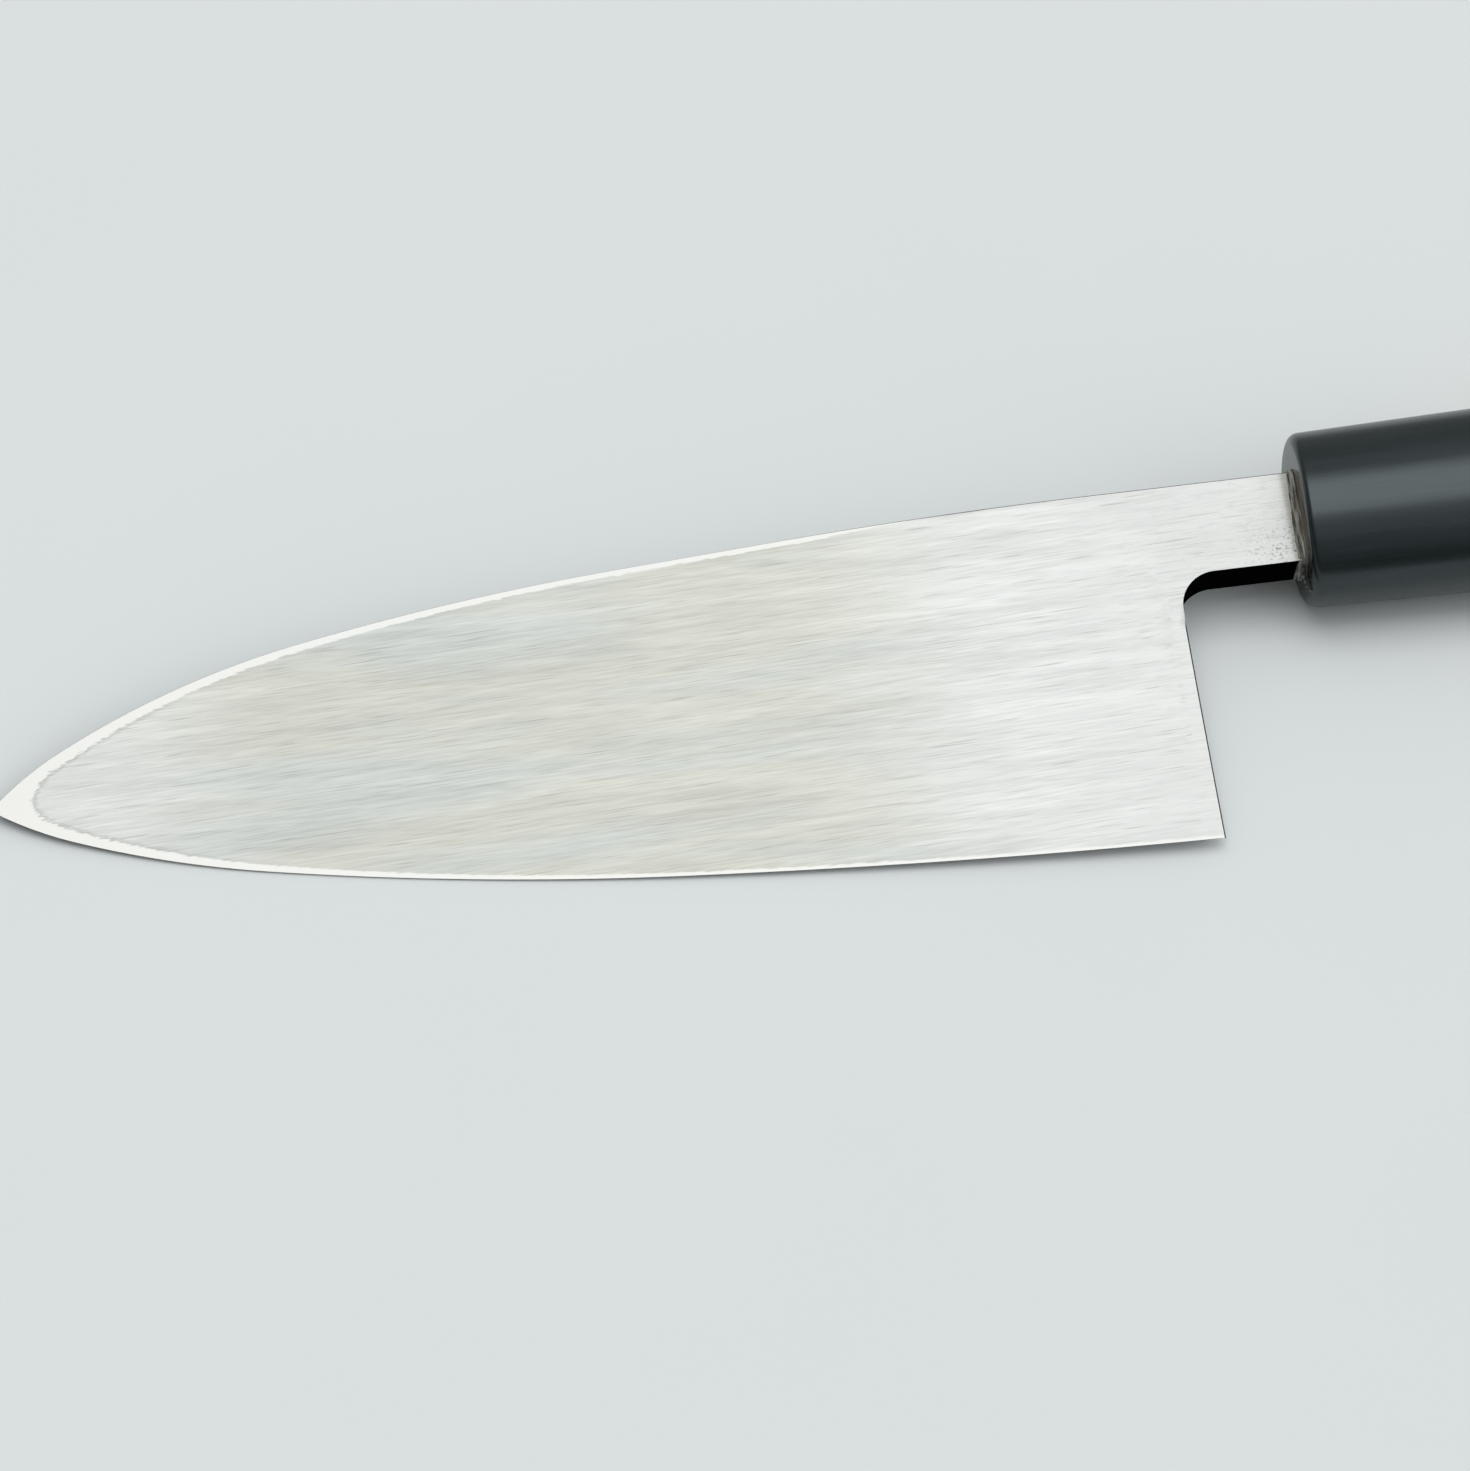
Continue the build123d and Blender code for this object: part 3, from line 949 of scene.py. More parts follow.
@dataclass
class LayeredBlade:
    """Blade and neck, forge-welded from a hard steel layer and a soft iron body."""

    shape: BladeShape
    place: KnifePlace
    inner_rows: int = 22
    upper_rows: int = 12
    tip_rows: int = 54
    tip_span: float = 16.0
    tip_crowding: float = 1.7
    blade_rows: int = 195
    heel_ease: float = 0.2
    choil_rows: int = 30
    neck_rows: tuple[int, int] = (3, 7)
    # Rows below on the soft iron: over the bevel, up to the choil's height, and to the spine.
    bevel_rows: int = 6
    low_rows: int = 3
    high_rows: int = 4
    into_mouth_x: Point = (-4.0, -1.5, 0.0)
    # Towards the tip the rims and corners keep to these shares of the height that is left.
    rim_share: float = 0.3
    ease_share: float = 0.1
    corner_share: float = 0.2
    spine_break: float = 0.35
    # Eased corner at the spine: its width at the tip, what it gains, from where, over what.
    back_corner: tuple[float, float, float, float] = (0.05, 0.10, -72.0, 24.0)
    # Wander of the weld line, as a share of its distance, and its waves: share, length, start.
    weld_wander: float = 0.028
    weld_waves: tuple[Point, ...] = ((0.6, 7.3, 0.0), (0.4, 3.1, 1.0))

    def blade_stations(self) -> list[float]:
        """X of the sections from tip to heel, closest together at the tip."""
        tip, heel, rows = self.shape.tip_x, self.shape.heel_x, self.tip_rows
        near = [tip + self.tip_span * (i / rows) ** self.tip_crowding for i in range(rows + 1)]
        rest = np.linspace(near[-1], heel - self.heel_ease, self.blade_rows + 1)
        return [*near, *rest[1:], heel]

    def neck_stations(self, end: float) -> list[float]:
        """X of the sections behind the heel, closest together round the choil.

        Args:
            end: X of the last section.

        Returns:
            The stations.
        """
        shape = self.shape
        centre = shape.heel_x + shape.choil_radius
        turn = [centre - shape.choil_radius * math.cos(a) for a in quarter(self.choil_rows)[1:]]
        scarf = -shape.hard_neck_gap - shape.hard_share * shape.thick / math.tan(
            math.radians(shape.scarf_degrees)
        )
        first, second = self.neck_rows
        to_scarf = np.linspace(turn[-1], scarf, first + 1)[1:]
        return [*turn, *to_scarf, *np.linspace(scarf, end, second + 1)[1:]]

    def back_break(self, x: float) -> float:
        """Width of the eased corner between the flat back and the spine."""
        least, gain, start, over = self.back_corner
        return least + gain * clamped((x - start) / over)

    def weld_inset(self, x: float) -> float:
        """Distance of the weld line from the cutting edge, wandering as a forged weld does."""
        depth = self.shape.hard_share * self.shape.thickness(x)
        wander = sum(share * math.sin(x / long + late) for share, long, late in self.weld_waves)
        return self.shape.inset_at_depth(depth) * (1 + self.weld_wander * wander)

    def back_rows(self, low: float, high: float, from_row: int) -> list[float]:
        """Heights of the rows on the flat back between two limits.

        Args:
            low: Lower limit.
            high: Upper limit.
            from_row: First row that is kept, which then lies on the lower limit.

        Returns:
            The heights, with the choil's row always at the same number.
        """
        shape = self.shape
        lower, upper = shape.rim_widths(shape.heel_x)
        heel_low = shape.edge_y(shape.heel_x, lower)
        heel_high = shape.spine_y(shape.heel_x, max(upper, shape.least_rim))
        choil = (shape.choil_y - heel_low) / (heel_high - heel_low)
        lower = np.linspace(0.0, choil, self.inner_rows + 1)
        upper = np.linspace(choil, 1.0, self.upper_rows + 1)[1:]
        shares = np.concatenate([lower, upper])
        shares = (shares[from_row:] - shares[from_row]) / (1 - shares[from_row])
        return [low + (high - low) * share for share in shares]

    def back_points(self, x: float) -> list[Span]:
        """Upper surface of the blade at x: rim, hollow, rim and eased corner."""
        shape = self.shape
        edge, spine = shape.edge_y(x), shape.spine_y(x)
        tall = max(spine - edge, 0.0)
        lower, upper = shape.rim_widths(x)
        ease = min(self.back_break(x), self.ease_share * tall)
        rim = self.rim_share * tall
        low = min(shape.edge_y(x, lower), edge + rim)
        high = max(shape.spine_y(x, max(upper, shape.least_rim)), spine - rim)
        rows = self.back_rows(low, high, 0)
        points = [(edge, shape.back_z)]
        points += [(y, shape.back_z - shape.hollow_depth(x, y)) for y in rows]
        return [*points, (spine - ease, shape.back_z), (spine, shape.back_z - ease)]

    def neck_back_points(self, x: float) -> list[Span]:
        """Upper surface of the neck at x, with the same rows above the choil."""
        shape = self.shape
        ease = self.back_break(x)
        high = shape.spine_rise - shape.least_rim
        rows = self.back_rows(shape.low_y(x), high, self.inner_rows)
        points = [(y, shape.back_z) for y in rows]
        return [*points, (shape.spine_rise - ease, shape.back_z),
                (shape.spine_rise, shape.back_z - ease)]

    def choil_height(self, x: float, low: float) -> float:
        """Height of the choil's row at x between a lower line and the spine."""
        shape = self.shape
        at_heel = shape.edge_y(shape.heel_x, self.weld_inset(shape.heel_x))
        share = (shape.choil_y - at_heel) / (shape.spine_rise - at_heel)
        return low + share * (shape.spine_y(x) - low)

    def hard_section(self, x: float) -> Section:
        """Section of the hard steel in front of the heel."""
        shape = self.shape
        spine = shape.spine_y(x)
        insets = (0.0, shape.honed_width, 0.5 * (shape.honed_width + self.weld_inset(x)),
                  self.weld_inset(x))
        heights = [min(shape.edge_y(x, inset), spine) for inset in insets]
        heights += [self.choil_height(x, heights[-1]), spine]
        layer = self.hard_depth_along(x)
        bottom = []
        for row, y in enumerate(heights):
            depth = shape.bevel_depth(x, y)
            below = min(depth, layer) if row >= len(insets) else depth
            bottom.append((y, shape.back_z - below))
        return Section(x, self.back_points(x), bottom)

    def hard_depth_along(self, x: float) -> float:
        """Depth of the weld where the weld line leaves the bevel at x."""
        shape = self.shape
        return shape.bevel_depth(x, min(shape.edge_y(x, self.weld_inset(x)), shape.spine_y(x)))

    def soft_section(self, x: float) -> Section:
        """Section of the soft iron in front of the heel."""
        shape = self.shape
        spine = shape.spine_y(x)
        layer = self.hard_depth_along(x)
        weld = self.weld_inset(x)
        ridge = max(shape.inset_at_depth(shape.thickness(x)), weld)
        rows = self.bevel_rows
        insets = [weld + (ridge - weld) * i / rows for i in range(rows + 1)]
        heights = [min(shape.edge_y(x, inset), spine) for inset in insets]
        at_heel = shape.edge_y(
            shape.heel_x, shape.inset_at_depth(shape.thickness(shape.heel_x))
        )
        choil = (shape.choil_y - at_heel) / (shape.spine_rise - at_heel)
        ridge_y = heights[-1]
        rows = self.low_rows
        heights += [ridge_y + (spine - ridge_y) * choil * i / rows for i in range(1, rows + 1)]
        above = heights[-1]
        corner = min(self.spine_break, self.corner_share * max(spine - heights[0], 0.0))
        rows = self.high_rows
        heights += [above + (spine - corner - above) * i / rows for i in range(1, rows + 1)]
        bottom = [(y, shape.back_z - shape.bevel_depth(x, y)) for y in heights]
        wall = shape.back_z - shape.bevel_depth(x, spine)
        bottom.append((spine, min(wall + corner, shape.back_z - layer)))
        top_choil = self.choil_height(x, heights[0])
        top = [(heights[0], bottom[0][1])]
        top += [
            (y, shape.back_z - min(layer, shape.bevel_depth(x, y)))
            for y in (top_choil, max(spine - self.back_break(x), top_choil), spine)
        ]
        return Section(x, top, bottom)

    def fill(
        self,
        made: bmesh.types.BMesh,
        sections: list[list[Point]],
        creases: dict[int, int],
        first: list[bmesh.types.BMVert] | None = None,
    ) -> list[bmesh.types.BMVert]:
        """Skins rings of points that all have the same number of points.

        Args:
            made: Mesh that gets the faces.
            sections: Rings of places in knife millimetres.
            creases: Number of the crease for each row that has one.
            first: Vertices of the first ring, where they exist already.

        Returns:
            Vertices of the last ring.
        """
        crease = made.verts.layers.int["crease"]
        hollow = made.verts.layers.float["hollow_mm"]
        before = first
        for ring in sections:
            verts = []
            for row, (x, y, z) in enumerate(ring):
                vert = made.verts.new((x, y, z))
                vert[crease] = creases.get(row, 0)
                vert[hollow] = self.shape.inside_hollow(x, y)
                verts.append(vert)
            if before is not None:
                for row, vert in enumerate(verts):
                    ahead = (row + 1) % len(verts)
                    made.faces.new((before[row], before[ahead], verts[ahead], vert))
            before = verts
        return before

    def new_mesh(self) -> bmesh.types.BMesh:
        """Makes an empty mesh with layers for the creases and for the hollow's border."""
        made = bmesh.new()
        made.verts.layers.int.new("crease")
        made.verts.layers.float.new("hollow_mm")
        return made

    def ring(self, section: Section) -> list[Point]:
        """Goes round a section: along the top from edge to spine and back below."""
        top = [(section.x, y, z) for y, z in section.top]
        bottom = [(section.x, y, z) for y, z in reversed(section.bottom)]
        return top + bottom

    def build_hard(self, finish: bpy.types.Material) -> bpy.types.Object:
        """Builds the hard steel: flat back, hollow, cutting edge and scarf on the neck.

        Args:
            finish: Its material.

        Returns:
            The piece.
        """
        shape = self.shape
        made = self.new_mesh()
        stations = self.blade_stations()
        sections = [self.hard_section(x) for x in stations]
        heel = sections[-1]
        choil_top = self.inner_rows + 1
        lowered = [(y, z - self.heel_ease) for y, z in heel.top[:choil_top]]
        heel.top = lowered + heel.top[choil_top:]
        heel.bottom[0] = (heel.bottom[0][0], heel.bottom[0][1] - self.heel_ease)
        rows = len(heel.top)
        # Creased rows: the hollow's lower and upper border, and the top of the honed strip.
        creases = {1: 1, rows - 3: 2, rows + len(heel.bottom) - 2: 3}
        last = self.fill(made, [self.ring(section) for section in sections], creases)
        choil_low = rows + 1
        made.faces.new(last[: choil_top + 1] + last[choil_low:])
        made.faces.new(self.fill(made, [self.ring(sections[0])], {}))
        kept = last[choil_top: choil_low + 1]
        neck = []
        for x in self.neck_stations(-shape.hard_neck_gap):
            depth = shape.hard_depth(x)
            bottom = [(shape.low_y(x), shape.back_z - depth),
                      (shape.spine_rise, shape.back_z - max(depth, self.back_break(x)))]
            neck.append(self.ring(Section(x, self.neck_back_points(x), bottom)))
        self.fill(made, neck, {}, kept)
        piece = mesh_piece(made, "hard_steel_back", self.place, finish)
        return settle(piece, Slot.HARD_STEEL, "hard_steel_layer")

    def build_soft(self, finish: bpy.types.Material) -> bpy.types.Object:
        """Builds the soft iron: bevelled side, spine, neck and the tang in the handle.

        Args:
            finish: Its material.

        Returns:
            The piece.
        """
        shape = self.shape
        made = self.new_mesh()
        sections = [self.soft_section(x) for x in self.blade_stations()]
        heel = sections[-1]
        ridge_row = len(heel.top) + len(heel.bottom) - 1 - self.bevel_rows
        rings = [self.ring(section) for section in sections]
        last = self.fill(made, rings, {ridge_row: 1})
        choil_low = ridge_row - self.low_rows
        made.faces.new([last[0], last[1], *last[choil_low:]])
        kept = last[1: choil_low + 1]
        neck = []
        for x in (*self.neck_stations(-shape.hard_neck_gap), *self.into_mouth_x):
            neck.append(self.neck_ring(x, len(kept) - 3))
        end = self.fill(made, neck, {}, kept)
        tang = [self.tang_ring(neck[-1], x) for x in (0.0, shape.tang_length)]
        end = self.fill(made, tang, {}, end)
        made.faces.new(list(reversed(end)))
        piece = mesh_piece(made, "soft_iron_blade", self.place, finish)
        return settle(piece, Slot.SOFT_IRON, "soft_iron_body")

    def neck_ring(self, x: float, below: int) -> list[Point]:
        """Ring of the soft iron round the neck at x.

        Args:
            x: Place along the knife.
            below: Number of points on the lower surface.

        Returns:
            The ring, from the choil's row above to the choil's row below.
        """
        shape = self.shape
        low, spine = shape.low_y(x), shape.spine_rise
        top_z = shape.back_z - shape.hard_depth(x)
        ease = self.back_break(x)
        drop = ease if top_z == shape.back_z else 0.0
        ring = [(x, low, top_z), (x, spine - ease, top_z), (x, spine, top_z - drop)]
        ring.append((x, spine, -shape.back_z + self.spine_break))
        rest = np.linspace(spine - self.spine_break, low, below - 1)
        return ring + [(x, float(y), -shape.back_z) for y in rest]

    def tang_ring(self, ring: list[Point], x: float) -> list[Point]:
        """Draws the neck's ring in to the size of the tang at x."""
        shape = self.shape
        share = x / shape.tang_length
        high = shape.tang_root[0] + (shape.tang_end[0] - shape.tang_root[0]) * share
        side = shape.tang_root[1] + (shape.tang_end[1] - shape.tang_root[1]) * share
        middle = shape.spine_rise - shape.neck_height / 2
        return [
            (x, middle + (y - middle) * high / shape.neck_height, z * side / shape.thick)
            for _, y, z in ring
        ]


# Handle


@dataclass(frozen=True)
class HandleShape:
    """Oval of four tangent arcs that grows from the ferrule's mouth to the butt."""

    length: float = 130.0
    ferrule: float = 30.0
    high: float = 12.64
    side: float = 9.74
    end_share: float = 0.84
    ferrule_swell: float = 0.65
    butt_swell: float = 1.05
    end_rounding: float = 1.6
    side_rounding: float = 0.8
    mouth_lean: float = 0.03
    lean_from_y: float = -4.0
    butt_rounding: float = 2.4
    tenon_y: float = -0.6
    tenon_radius: float = 7.75
    glue_gap: float = 0.05
    slot: tuple[float, float, float] = (-0.6, 6.4, 3.3)
    slot_end: Span = (3.6, 2.2)
    slot_length: float = 92.6
    # Small breaks of the ferrule's and the tenon's corners, and where the end grain lies.
    ferrule_break: float = 0.12
    bore_break: float = 0.04
    tenon_break: float = 0.2
    grain_x: float = 0.1
    turns: int = 192
    rounding_rows: int = 12
    ferrule_rows: int = 15
    grip_rows: int = 39
    butt_middle: float = 0.5

    def growth(self, x: float) -> float:
        """How much the oval has grown at x."""
        to_back = clamped(x / self.ferrule)
        to_butt = clamped((x - self.ferrule) / (self.length - self.ferrule))
        return self.ferrule_swell * to_back + self.butt_swell * to_butt

    def oval(self, x: float, inset: float = 0.0) -> list[Point]:
        """Ring of points on the handle's outside at x, drawn in by an inset.

        Args:
            x: Place along the handle.
            inset: How far the ring is drawn in.

        Returns:
            The ring, starting at the spine's side and turning towards the flat back's side.
        """
        end_radius = self.end_share * self.side
        end_y = self.high - end_radius
        side_radius = (end_y**2 + self.side**2 - end_radius**2) / (2 * (self.side - end_radius))
        side_z = side_radius - self.side
        joint = math.atan2(side_z, end_y)
        grown = self.growth(x) - inset
        ring = []
        for c, s in around(self.turns):
            if abs(c) >= math.cos(joint):
                cy, cz, radius = math.copysign(end_y, c), 0.0, end_radius
            else:
                cy, cz, radius = 0.0, -math.copysign(side_z, s), side_radius
            ring.append((x, cy + (radius + grown) * c, cz + (radius + grown) * s))
        return ring

    def circle(self, x: float, radius: float) -> list[Point]:
        """Ring of points on a circle round the tenon's axis."""
        return [(x, self.tenon_y + radius * c, radius * s) for c, s in around(self.turns)]

    def rounding_ring(self, turn: float) -> list[Point]:
        """Ring of points on the mouth's rounding, broad at spine and edge, tight at the sides.

        Args:
            turn: How far round in radians, from 0 on the mouth's face.

        Returns:
            The ring.
        """
        broad, tight = (
            self.oval(r * (1 - math.cos(turn)), r * (1 - math.sin(turn)))
            for r in (self.end_rounding, self.side_rounding)
        )
        ring = []
        for ends, sides, (c, _) in zip(broad, tight, around(self.turns)):
            ring.append(tuple(Vector(sides).lerp(Vector(ends), c**2)))
        return ring

    def lean(self, ring: list[Point]) -> list[Point]:
        """Leans a ring at the mouth back towards the spine, as it was sanded."""
        return [(x + self.mouth_back(y), y, z) for x, y, z in ring]

    def mouth_back(self, y: float) -> float:
        """How far the mouth's face lies back from the CAD's plane at a height."""
        return self.mouth_lean * max(y - self.lean_from_y, 0.0)

    def slot_ring(self, x: float, half_high: float, half_side: float) -> list[Point]:
        """Ring of points on the rectangle of the tang's slot."""
        ring = []
        for c, s in around(self.turns):
            reach = 1 / max(abs(c) / half_high, abs(s) / half_side)
            ring.append((x, self.slot[0] + reach * c, reach * s))
        return ring


def skin_rings(rings: list[list[Point]], close: bool = False) -> bmesh.types.BMesh:
    """Skins a row of rings with the same number of points.

    Args:
        rings: The rings in order.
        close: Joins the last ring to the first.

    Returns:
        The mesh, with its open ends capped unless it is closed.
    """
    made = bmesh.new()
    loops = [[made.verts.new(point) for point in ring] for ring in rings]
    pairs = list(zip(loops, loops[1:]))
    if close:
        pairs.append((loops[-1], loops[0]))
    for here, there in pairs:
        for i in range(len(here)):
            j = (i + 1) % len(here)
            made.faces.new((here[i], here[j], there[j], there[i]))
    if not close:
        made.faces.new(loops[0])
        made.faces.new(list(reversed(loops[-1])))
    return made


@dataclass
class OvalHandle:
    """Horn ferrule and wooden grip with its tenon."""

    shape: HandleShape
    place: KnifePlace

    def build_ferrule(self, finish: bpy.types.Material) -> bpy.types.Object:
        """Builds the ferrule with its rounded mouth and through bore.

        Args:
            finish: Its material.

        Returns:
            The piece.
        """
        shape = self.shape
        bore = shape.tenon_radius + shape.glue_gap
        ease = shape.ferrule_break
        rings = [shape.circle(ease, bore), shape.circle(0.0, bore + shape.bore_break)]
        rings += [shape.rounding_ring(turn) for turn in quarter(shape.rounding_rows)]
        rings = [shape.lean(ring) for ring in rings]
        rows = shape.ferrule_rows + 1
        body = np.linspace(shape.end_rounding, shape.ferrule - ease, rows)[1:]
        rings += [shape.oval(float(x)) for x in body]
        rings += [shape.oval(shape.ferrule, ease), shape.circle(shape.ferrule, bore)]
        made = skin_rings(rings, close=True)
        piece = mesh_piece(made, "horn_ferrule", self.place, finish)
        return settle(piece, Slot.BLACK_HORN, "ferrule")

    def build_grip(self, finish: bpy.types.Material) -> bpy.types.Object:
        """Builds the grip with its tenon, the slot for the tang and the rounded butt.

        Args:
            finish: Its material.

        Returns:
            The piece.
        """
        shape = self.shape
        _, high, side = shape.slot
        grain, ease = shape.grain_x, shape.tenon_break
        rings = [
            shape.slot_ring(shape.slot_length, *shape.slot_end),
            shape.lean(shape.slot_ring(grain, high, side)),
            shape.lean(shape.circle(grain, shape.tenon_radius - ease)),
            shape.lean(shape.circle(grain + ease, shape.tenon_radius)),
            shape.circle(shape.ferrule, shape.tenon_radius),
            shape.oval(shape.ferrule, shape.ferrule_break),
        ]
        r = shape.butt_rounding
        start = shape.ferrule + shape.ferrule_break
        steps = np.linspace(start, shape.length - r, shape.grip_rows + 1)
        rings += [shape.oval(float(x)) for x in steps]
        rings += [
            shape.oval(shape.length - r * (1 - math.sin(a)), r * (1 - math.cos(a)))
            for a in quarter(shape.rounding_rows)[1:]
        ]
        inner = shape.butt_middle
        rings.append([(shape.length, y * inner, z * inner) for _, y, z in rings[-1]])
        piece = mesh_piece(skin_rings(rings), "magnolia_grip", self.place, finish)
        return settle(piece, Slot.MAGNOLIA, "handle_grip")


@dataclass
class MouthResin:
    """Resin pressed out round the neck where it enters the handle."""

    shape: BladeShape
    handle: HandleShape
    place: KnifePlace
    width: float = 0.5
    length: float = 1.35
    sections: int = 260
    rounding_rows: int = 6
    corner: float = 0.25
    overlap: float = 0.1
    # Shares of the width: even, lumps, fine lumps. Of the length: even, down the neck, lumps,
    # fine lumps.
    width_shares: Point = (0.9, 0.35, 0.16)
    length_shares: tuple[float, float, float, float] = (0.66, 0.26, 0.08, 0.05)
    lumps_per_mm: float = 0.9
    fine_per_mm: float = 3.4
    run: tuple[Point, ...] = (
        (-0.6, -7.5, 2.9), (-0.5, -8.0, 1.6), (-0.5, -8.6, 0.7), (-0.45, -9.6, 0.7),
        (-0.4, -10.6, 1.0), (-0.2, -11.4, 1.5),
    )
    run_rings: int = 70
    run_turns: int = 14
    run_per_mm: float = 2.1
    run_flat: float = 0.75
    run_radius: float = 0.42
    run_lumps: float = 0.5
    run_rough: float = 0.45

    def outline(self, share: float) -> tuple[Vector, Vector]:
        """Point on the neck's outline and the direction out of the steel there.

        Args:
            share: Place round the outline, 0 to 1.

        Returns:
            Place and direction in knife millimetres, both at the mouth.
        """
        shape = self.shape
        middle = shape.spine_rise - shape.neck_height / 2
        high, side, round_by = shape.neck_height / 2, shape.thick / 2, self.corner
        angle = 2 * math.pi * share
        c, s = math.cos(angle), math.sin(angle)
        reach = 1 / max(abs(c) / (high - round_by), abs(s) / (side - round_by))
        core = Vector((0.0, reach * c, reach * s))
        out = Vector((0.0, 0.0, math.copysign(1.0, s)))
        if abs(c) / (high - round_by) > abs(s) / (side - round_by):
            out = Vector((0.0, math.copysign(1.0, c), 0.0))
        return Vector((0.0, middle, 0.0)) + core + out * round_by, out

    def build(self, finish: bpy.types.Material) -> bpy.types.Object:
        """Builds the bead round the neck.

        Args:
            finish: Its material.

        Returns:
            The piece.
        """
        rings = []
        for i in range(self.sections):
            where, out = self.outline(i / self.sections)
            lump = noise.noise(where * self.lumps_per_mm + Vector((3.1, 0.0, 0.0)))
            fine = noise.noise(where * self.fine_per_mm + Vector((0.0, 9.7, 0.0)))
            where.x = self.handle.mouth_back(where.y)
            even, lumpy, rough = self.width_shares
            wide = self.width * (even + lumpy * lump + rough * fine)
            lower = (self.shape.spine_rise - where.y) / self.shape.neck_height
            even, down, lumpy, rough = self.length_shares
            long = self.length * (even + down * lower + lumpy * lump + rough * fine)
            turns = quarter(self.rounding_rows)
            places = [(wide * math.cos(a), -long * math.sin(a)) for a in turns]
            places += [(-self.overlap, -long), (-self.overlap, self.overlap), (wide, self.overlap)]
            rings.append([tuple(where + out * off + Vector((x, 0.0, 0.0))) for off, x in places])
        made = skin_rings(rings, close=True)
        piece = mesh_piece(made, "resin_bead", self.place, finish, 60.0)
        return settle(piece, Slot.BEAD, "mouth_bead")

    def build_run(self, finish: bpy.types.Material) -> bpy.types.Object:
        """Builds the lumpy run of resin down the mouth's face, below the neck.

        Args:
            finish: Its material.

        Returns:
            The piece.
        """
        points = [Vector(point) for point in self.run]
        rings = []
        for i in range(self.run_rings + 1):
            share = i / self.run_rings * (len(points) - 1)
            k = min(int(share), len(points) - 2)
            centre = points[k].lerp(points[k + 1], share - k)
            lump = noise.noise(centre * self.run_per_mm + Vector((5.0, 2.0, 0.0)))
            swell = self.run_radius + self.run_lumps * lump
            # Both ends run out, though not quite to nothing.
            swell *= 0.35 + 0.65 * math.sin(math.pi * (0.08 + 0.84 * i / self.run_rings))
            ring = []
            for c, s in around(self.run_turns):
                out = Vector((self.run_flat * c, 0.0, s))
                rough = 1 + self.run_rough * noise.noise((centre + out) * self.run_per_mm)
                ring.append(tuple(centre + out * swell * rough))
            rings.append(ring)
        piece = mesh_piece(skin_rings(rings), "resin_run", self.place, finish, 80.0)
        return settle(piece, Slot.BEAD)


# Studio


@dataclass
class Studio:
    """Pale board in a light tent: bright roof, dim low walls, bright wall at the handle's end."""

    floor_radius: float = 3.0
    floor_sides: int = 96
    lamp_height: float = 2.4
    lamp_size: Span = (2.0, 1.7)
    lamp_power: float = 20.0
    lamp_lean: float = 0.21
    front_light: float = 0.12
    back_light: float = 0.35
    high_light: float = 0.92
    wall_light: Span = (0.8, 2.5)
    wall_behind: float = 0.5
    # Where each part of the tent begins and is complete, as parts of the direction to it.
    roof_z: Span = (0.35, 0.95)
    back_y: Span = (-0.3, 0.5)
    wall_x: Span = (0.35, 0.6)
    wall_y: Span = (-0.1, 0.35)
    wall_z: Span = (0.05, 0.4)
    tint: str = "#F5F8F9"

    def build_floor(self, finish: bpy.types.Material) -> bpy.types.Object:
        """Lays the board down at height zero.

        Args:
            finish: Its material.

        Returns:
            The board.
        """
        made = bmesh.new()
        radius = self.floor_radius
        corners = [(radius * c, radius * s, 0.0) for c, s in around(self.floor_sides)]
        made.faces.new([made.verts.new(corner) for corner in corners])
        data = bpy.data.meshes.new("pale_board")
        made.to_mesh(data)
        made.free()
        data.materials.append(finish)
        floor = bpy.data.objects.new("pale_board", data)
        bpy.context.scene.collection.objects.link(floor)
        LOG.info("%s: %.1f m across", floor.name, 2 * self.floor_radius)
        return floor

    def build_lights(self) -> None:
        """Hangs the overhead light and sets the tent's walls as the world."""
        lamp = bpy.data.lights.new("overhead_light", "AREA")
        lamp.shape = "RECTANGLE"
        lamp.size, lamp.size_y = self.lamp_size
        lamp.energy = self.lamp_power
        light = bpy.data.objects.new("overhead_light", lamp)
        light.location = (0.0, self.lamp_lean, self.lamp_height)
        light.rotation_euler = (math.atan2(-self.lamp_lean, self.lamp_height), 0.0, 0.0)
        bpy.context.scene.collection.objects.link(light)
        world = bpy.data.worlds.new("light_tent")
        world.use_nodes = True
        tree = world.node_tree
        tree.nodes.clear()
        place = add_node(tree, "ShaderNodeTexCoord")
        way = add_node(tree, "ShaderNodeSeparateXYZ", {0: place.outputs["Generated"]})
        made = dict(zip("xyz", way.outputs))
        rows = (
            ("height", Step.RANGE, "z", *self.roof_z),
            ("height", Step.POWER, "height", 2.0),
            ("low", Step.RANGE, "y", *self.back_y, self.front_light, self.back_light),
            ("sky", Step.LEVEL, "height", "low", self.high_light),
            ("wall", Step.RANGE, "z", *self.wall_z, *self.wall_light),
            ("beside", Step.RANGE, "x", *self.wall_x),
            ("before", Step.RANGE, "y", *self.wall_y, 1.0, self.wall_behind),
            ("beside", Step.TIMES, "beside", "before"),
            ("strength", Step.EVEN, "beside", "sky", "wall"),
        )
        add_steps(tree, made, rows)
        values = {0: linear(self.tint), 1: made["strength"]}
        ground = add_node(tree, "ShaderNodeBackground", values)
        add_node(tree, "ShaderNodeOutputWorld", {0: ground})
        bpy.context.scene.world = world
        LOG.info("overhead light %.1f W in a light tent", self.lamp_power)


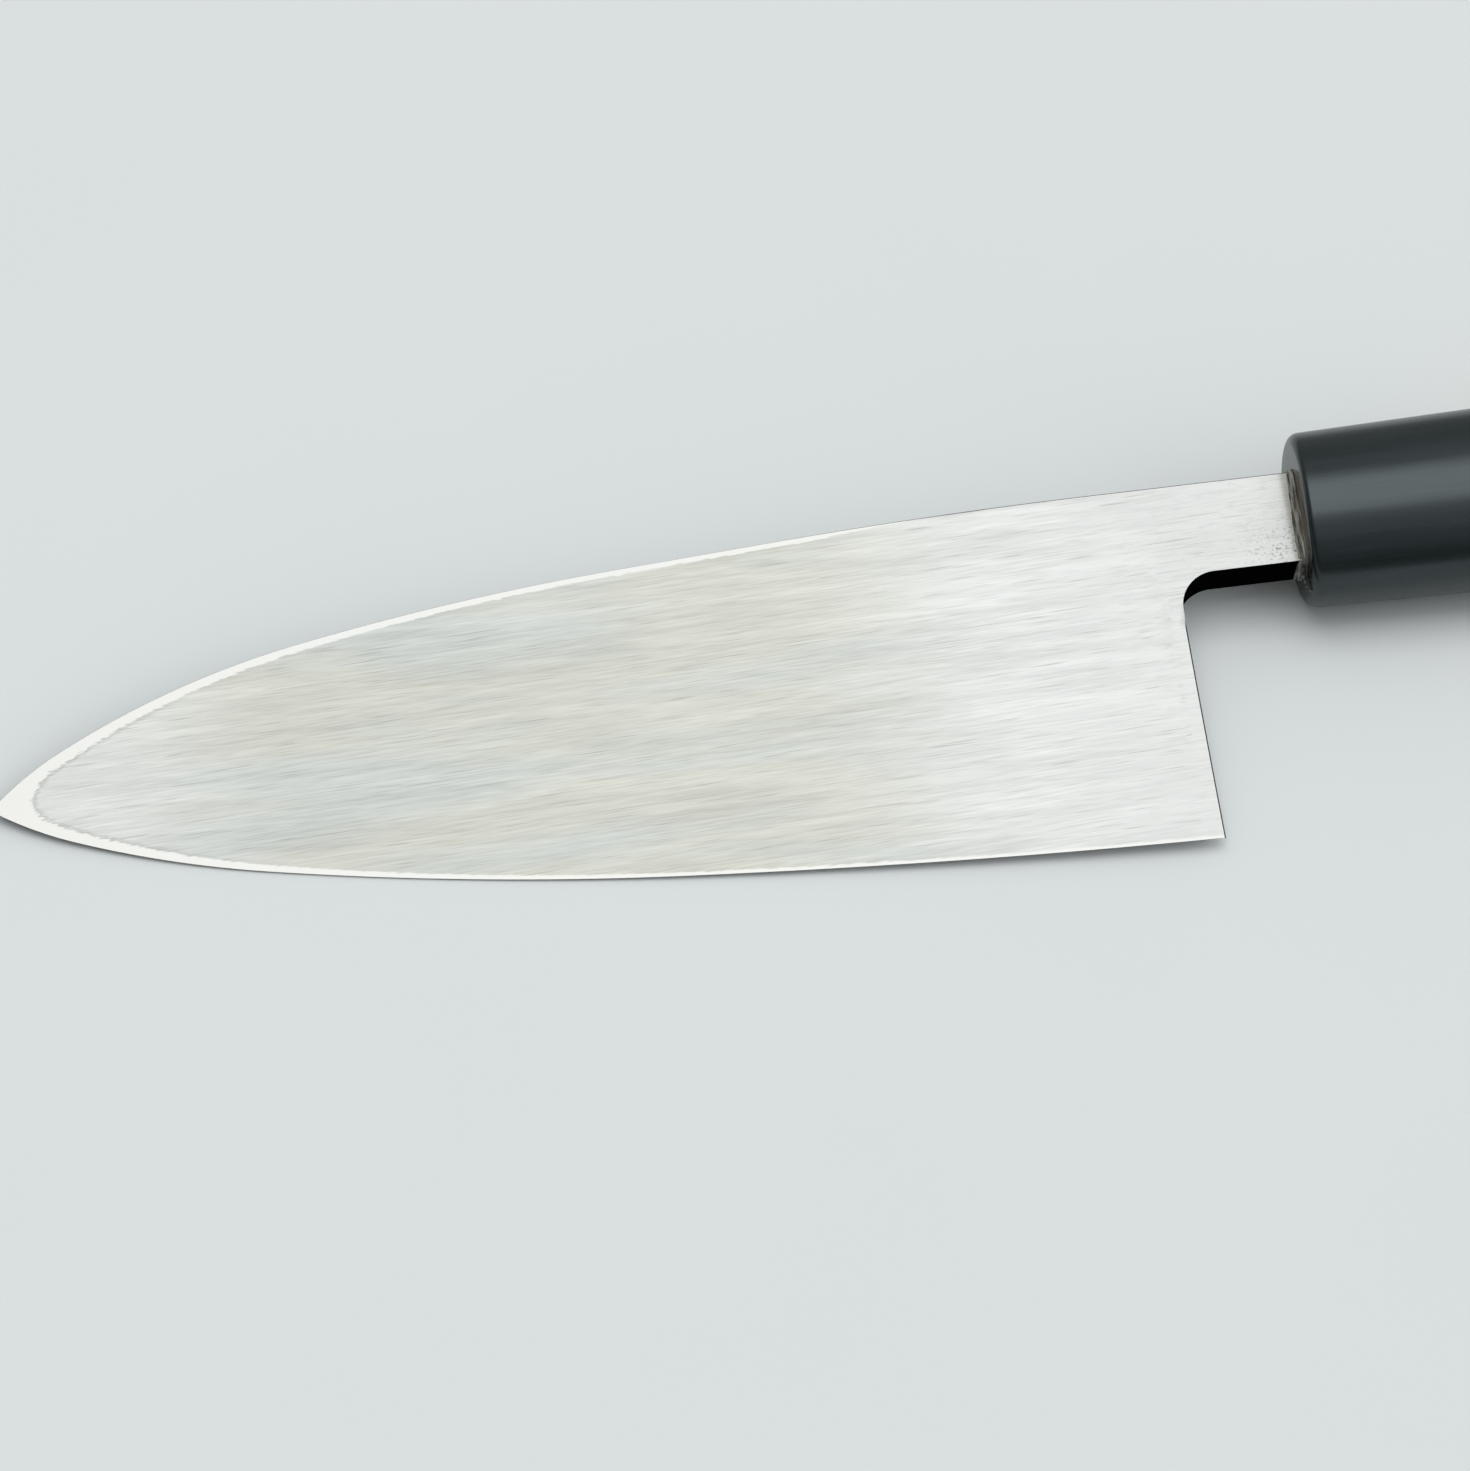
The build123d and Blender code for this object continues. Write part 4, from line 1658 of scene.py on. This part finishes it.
@dataclass
class PhotoCamera:
    """The photograph's viewpoint, fitted in the knife's own frame."""

    spot: Point = (-108.9, -229.8, 518.7)
    elevation: float = 68.0
    swing: float = 7.4
    focal_px: float = 4083.0
    long_side_px: float = 1471.0
    sensor: float = 36.0
    clip: Span = (0.01, 50.0)

    def build(self, place: KnifePlace) -> bpy.types.Object:
        """Sets the camera up and makes it the scene's own.

        Args:
            place: Placement of the knife.

        Returns:
            The camera.
        """
        swing, lift = math.radians(self.swing), math.radians(self.elevation)
        right = Vector((math.cos(swing), -math.sin(swing), 0.0))
        ahead = Vector((math.sin(swing), math.cos(swing), 0.0))
        look = ahead * math.cos(lift) - Vector((0.0, 0.0, 1.0)) * math.sin(lift)
        axes = [place.direction(tuple(way)) for way in (right, right.cross(look), -look)]
        data = bpy.data.cameras.new("photo_camera")
        data.sensor_width = self.sensor
        data.lens = self.focal_px / self.long_side_px * self.sensor
        data.clip_start, data.clip_end = self.clip
        camera = bpy.data.objects.new("photo_camera", data)
        bpy.context.scene.collection.objects.link(camera)
        turn = Matrix(axes).transposed().to_4x4()
        camera.matrix_world = Matrix.Translation(place.point(self.spot)) @ turn
        bpy.context.scene.camera = camera
        LOG.info("camera: %.1f mm lens", data.lens)
        return camera


def main() -> None:
    """Builds the knife's looks over the frame, in order, and the studio round it."""
    logging.basicConfig(level=logging.INFO, format="%(name)s %(message)s")
    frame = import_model()
    shape = BladeShape()
    place = KnifePlace.from_record(frame["record"], shape)

    blade = LayeredBlade(shape, place)
    blade.build_hard(ForgedSteel(place, name="hard_steel_brushed").material())
    blade.build_soft(
        ForgedSteel(
            place, name="soft_iron_hazed", below="#8E9091", haze_share=0.8, rough_below=0.5
        ).material()
    )

    handle = OvalHandle(HandleShape(), place)
    handle.build_ferrule(BuffaloHorn(place).material())
    handle.build_grip(MagnoliaWood(place).material())

    resin = MouthResin(shape, handle.shape, place)
    resin.build(
        CuredResin(
            place,
            name="wiped_resin",
            dark="#2B2B28",
            light="#A8A59B",
            patterns=(("lumps", (0.24, 3.5, 3.5), 4.0, 0.0, 0.0), CuredResin.patterns[1]),
        ).material()
    )
    resin.build_run(
        CuredResin(
            place, name="dripped_resin", dark="#1B1B1A", light="#7C7C75", speck="#DADAD4"
        ).material()
    )

    bedding = frame["nodes"]["tang_bedding"]
    bedding.data.materials.clear()
    bedding.data.materials.append(
        CuredResin(place, name="bedding_resin", dark="#1E1814", light="#3A2F26").material()
    )

    studio = Studio()
    studio.build_floor(PaleBoard(place).material())
    studio.build_lights()
    PhotoCamera().build(place)

    scene = bpy.context.scene
    scene.view_settings.view_transform = "Standard"


if __name__ == "__main__":
    main()
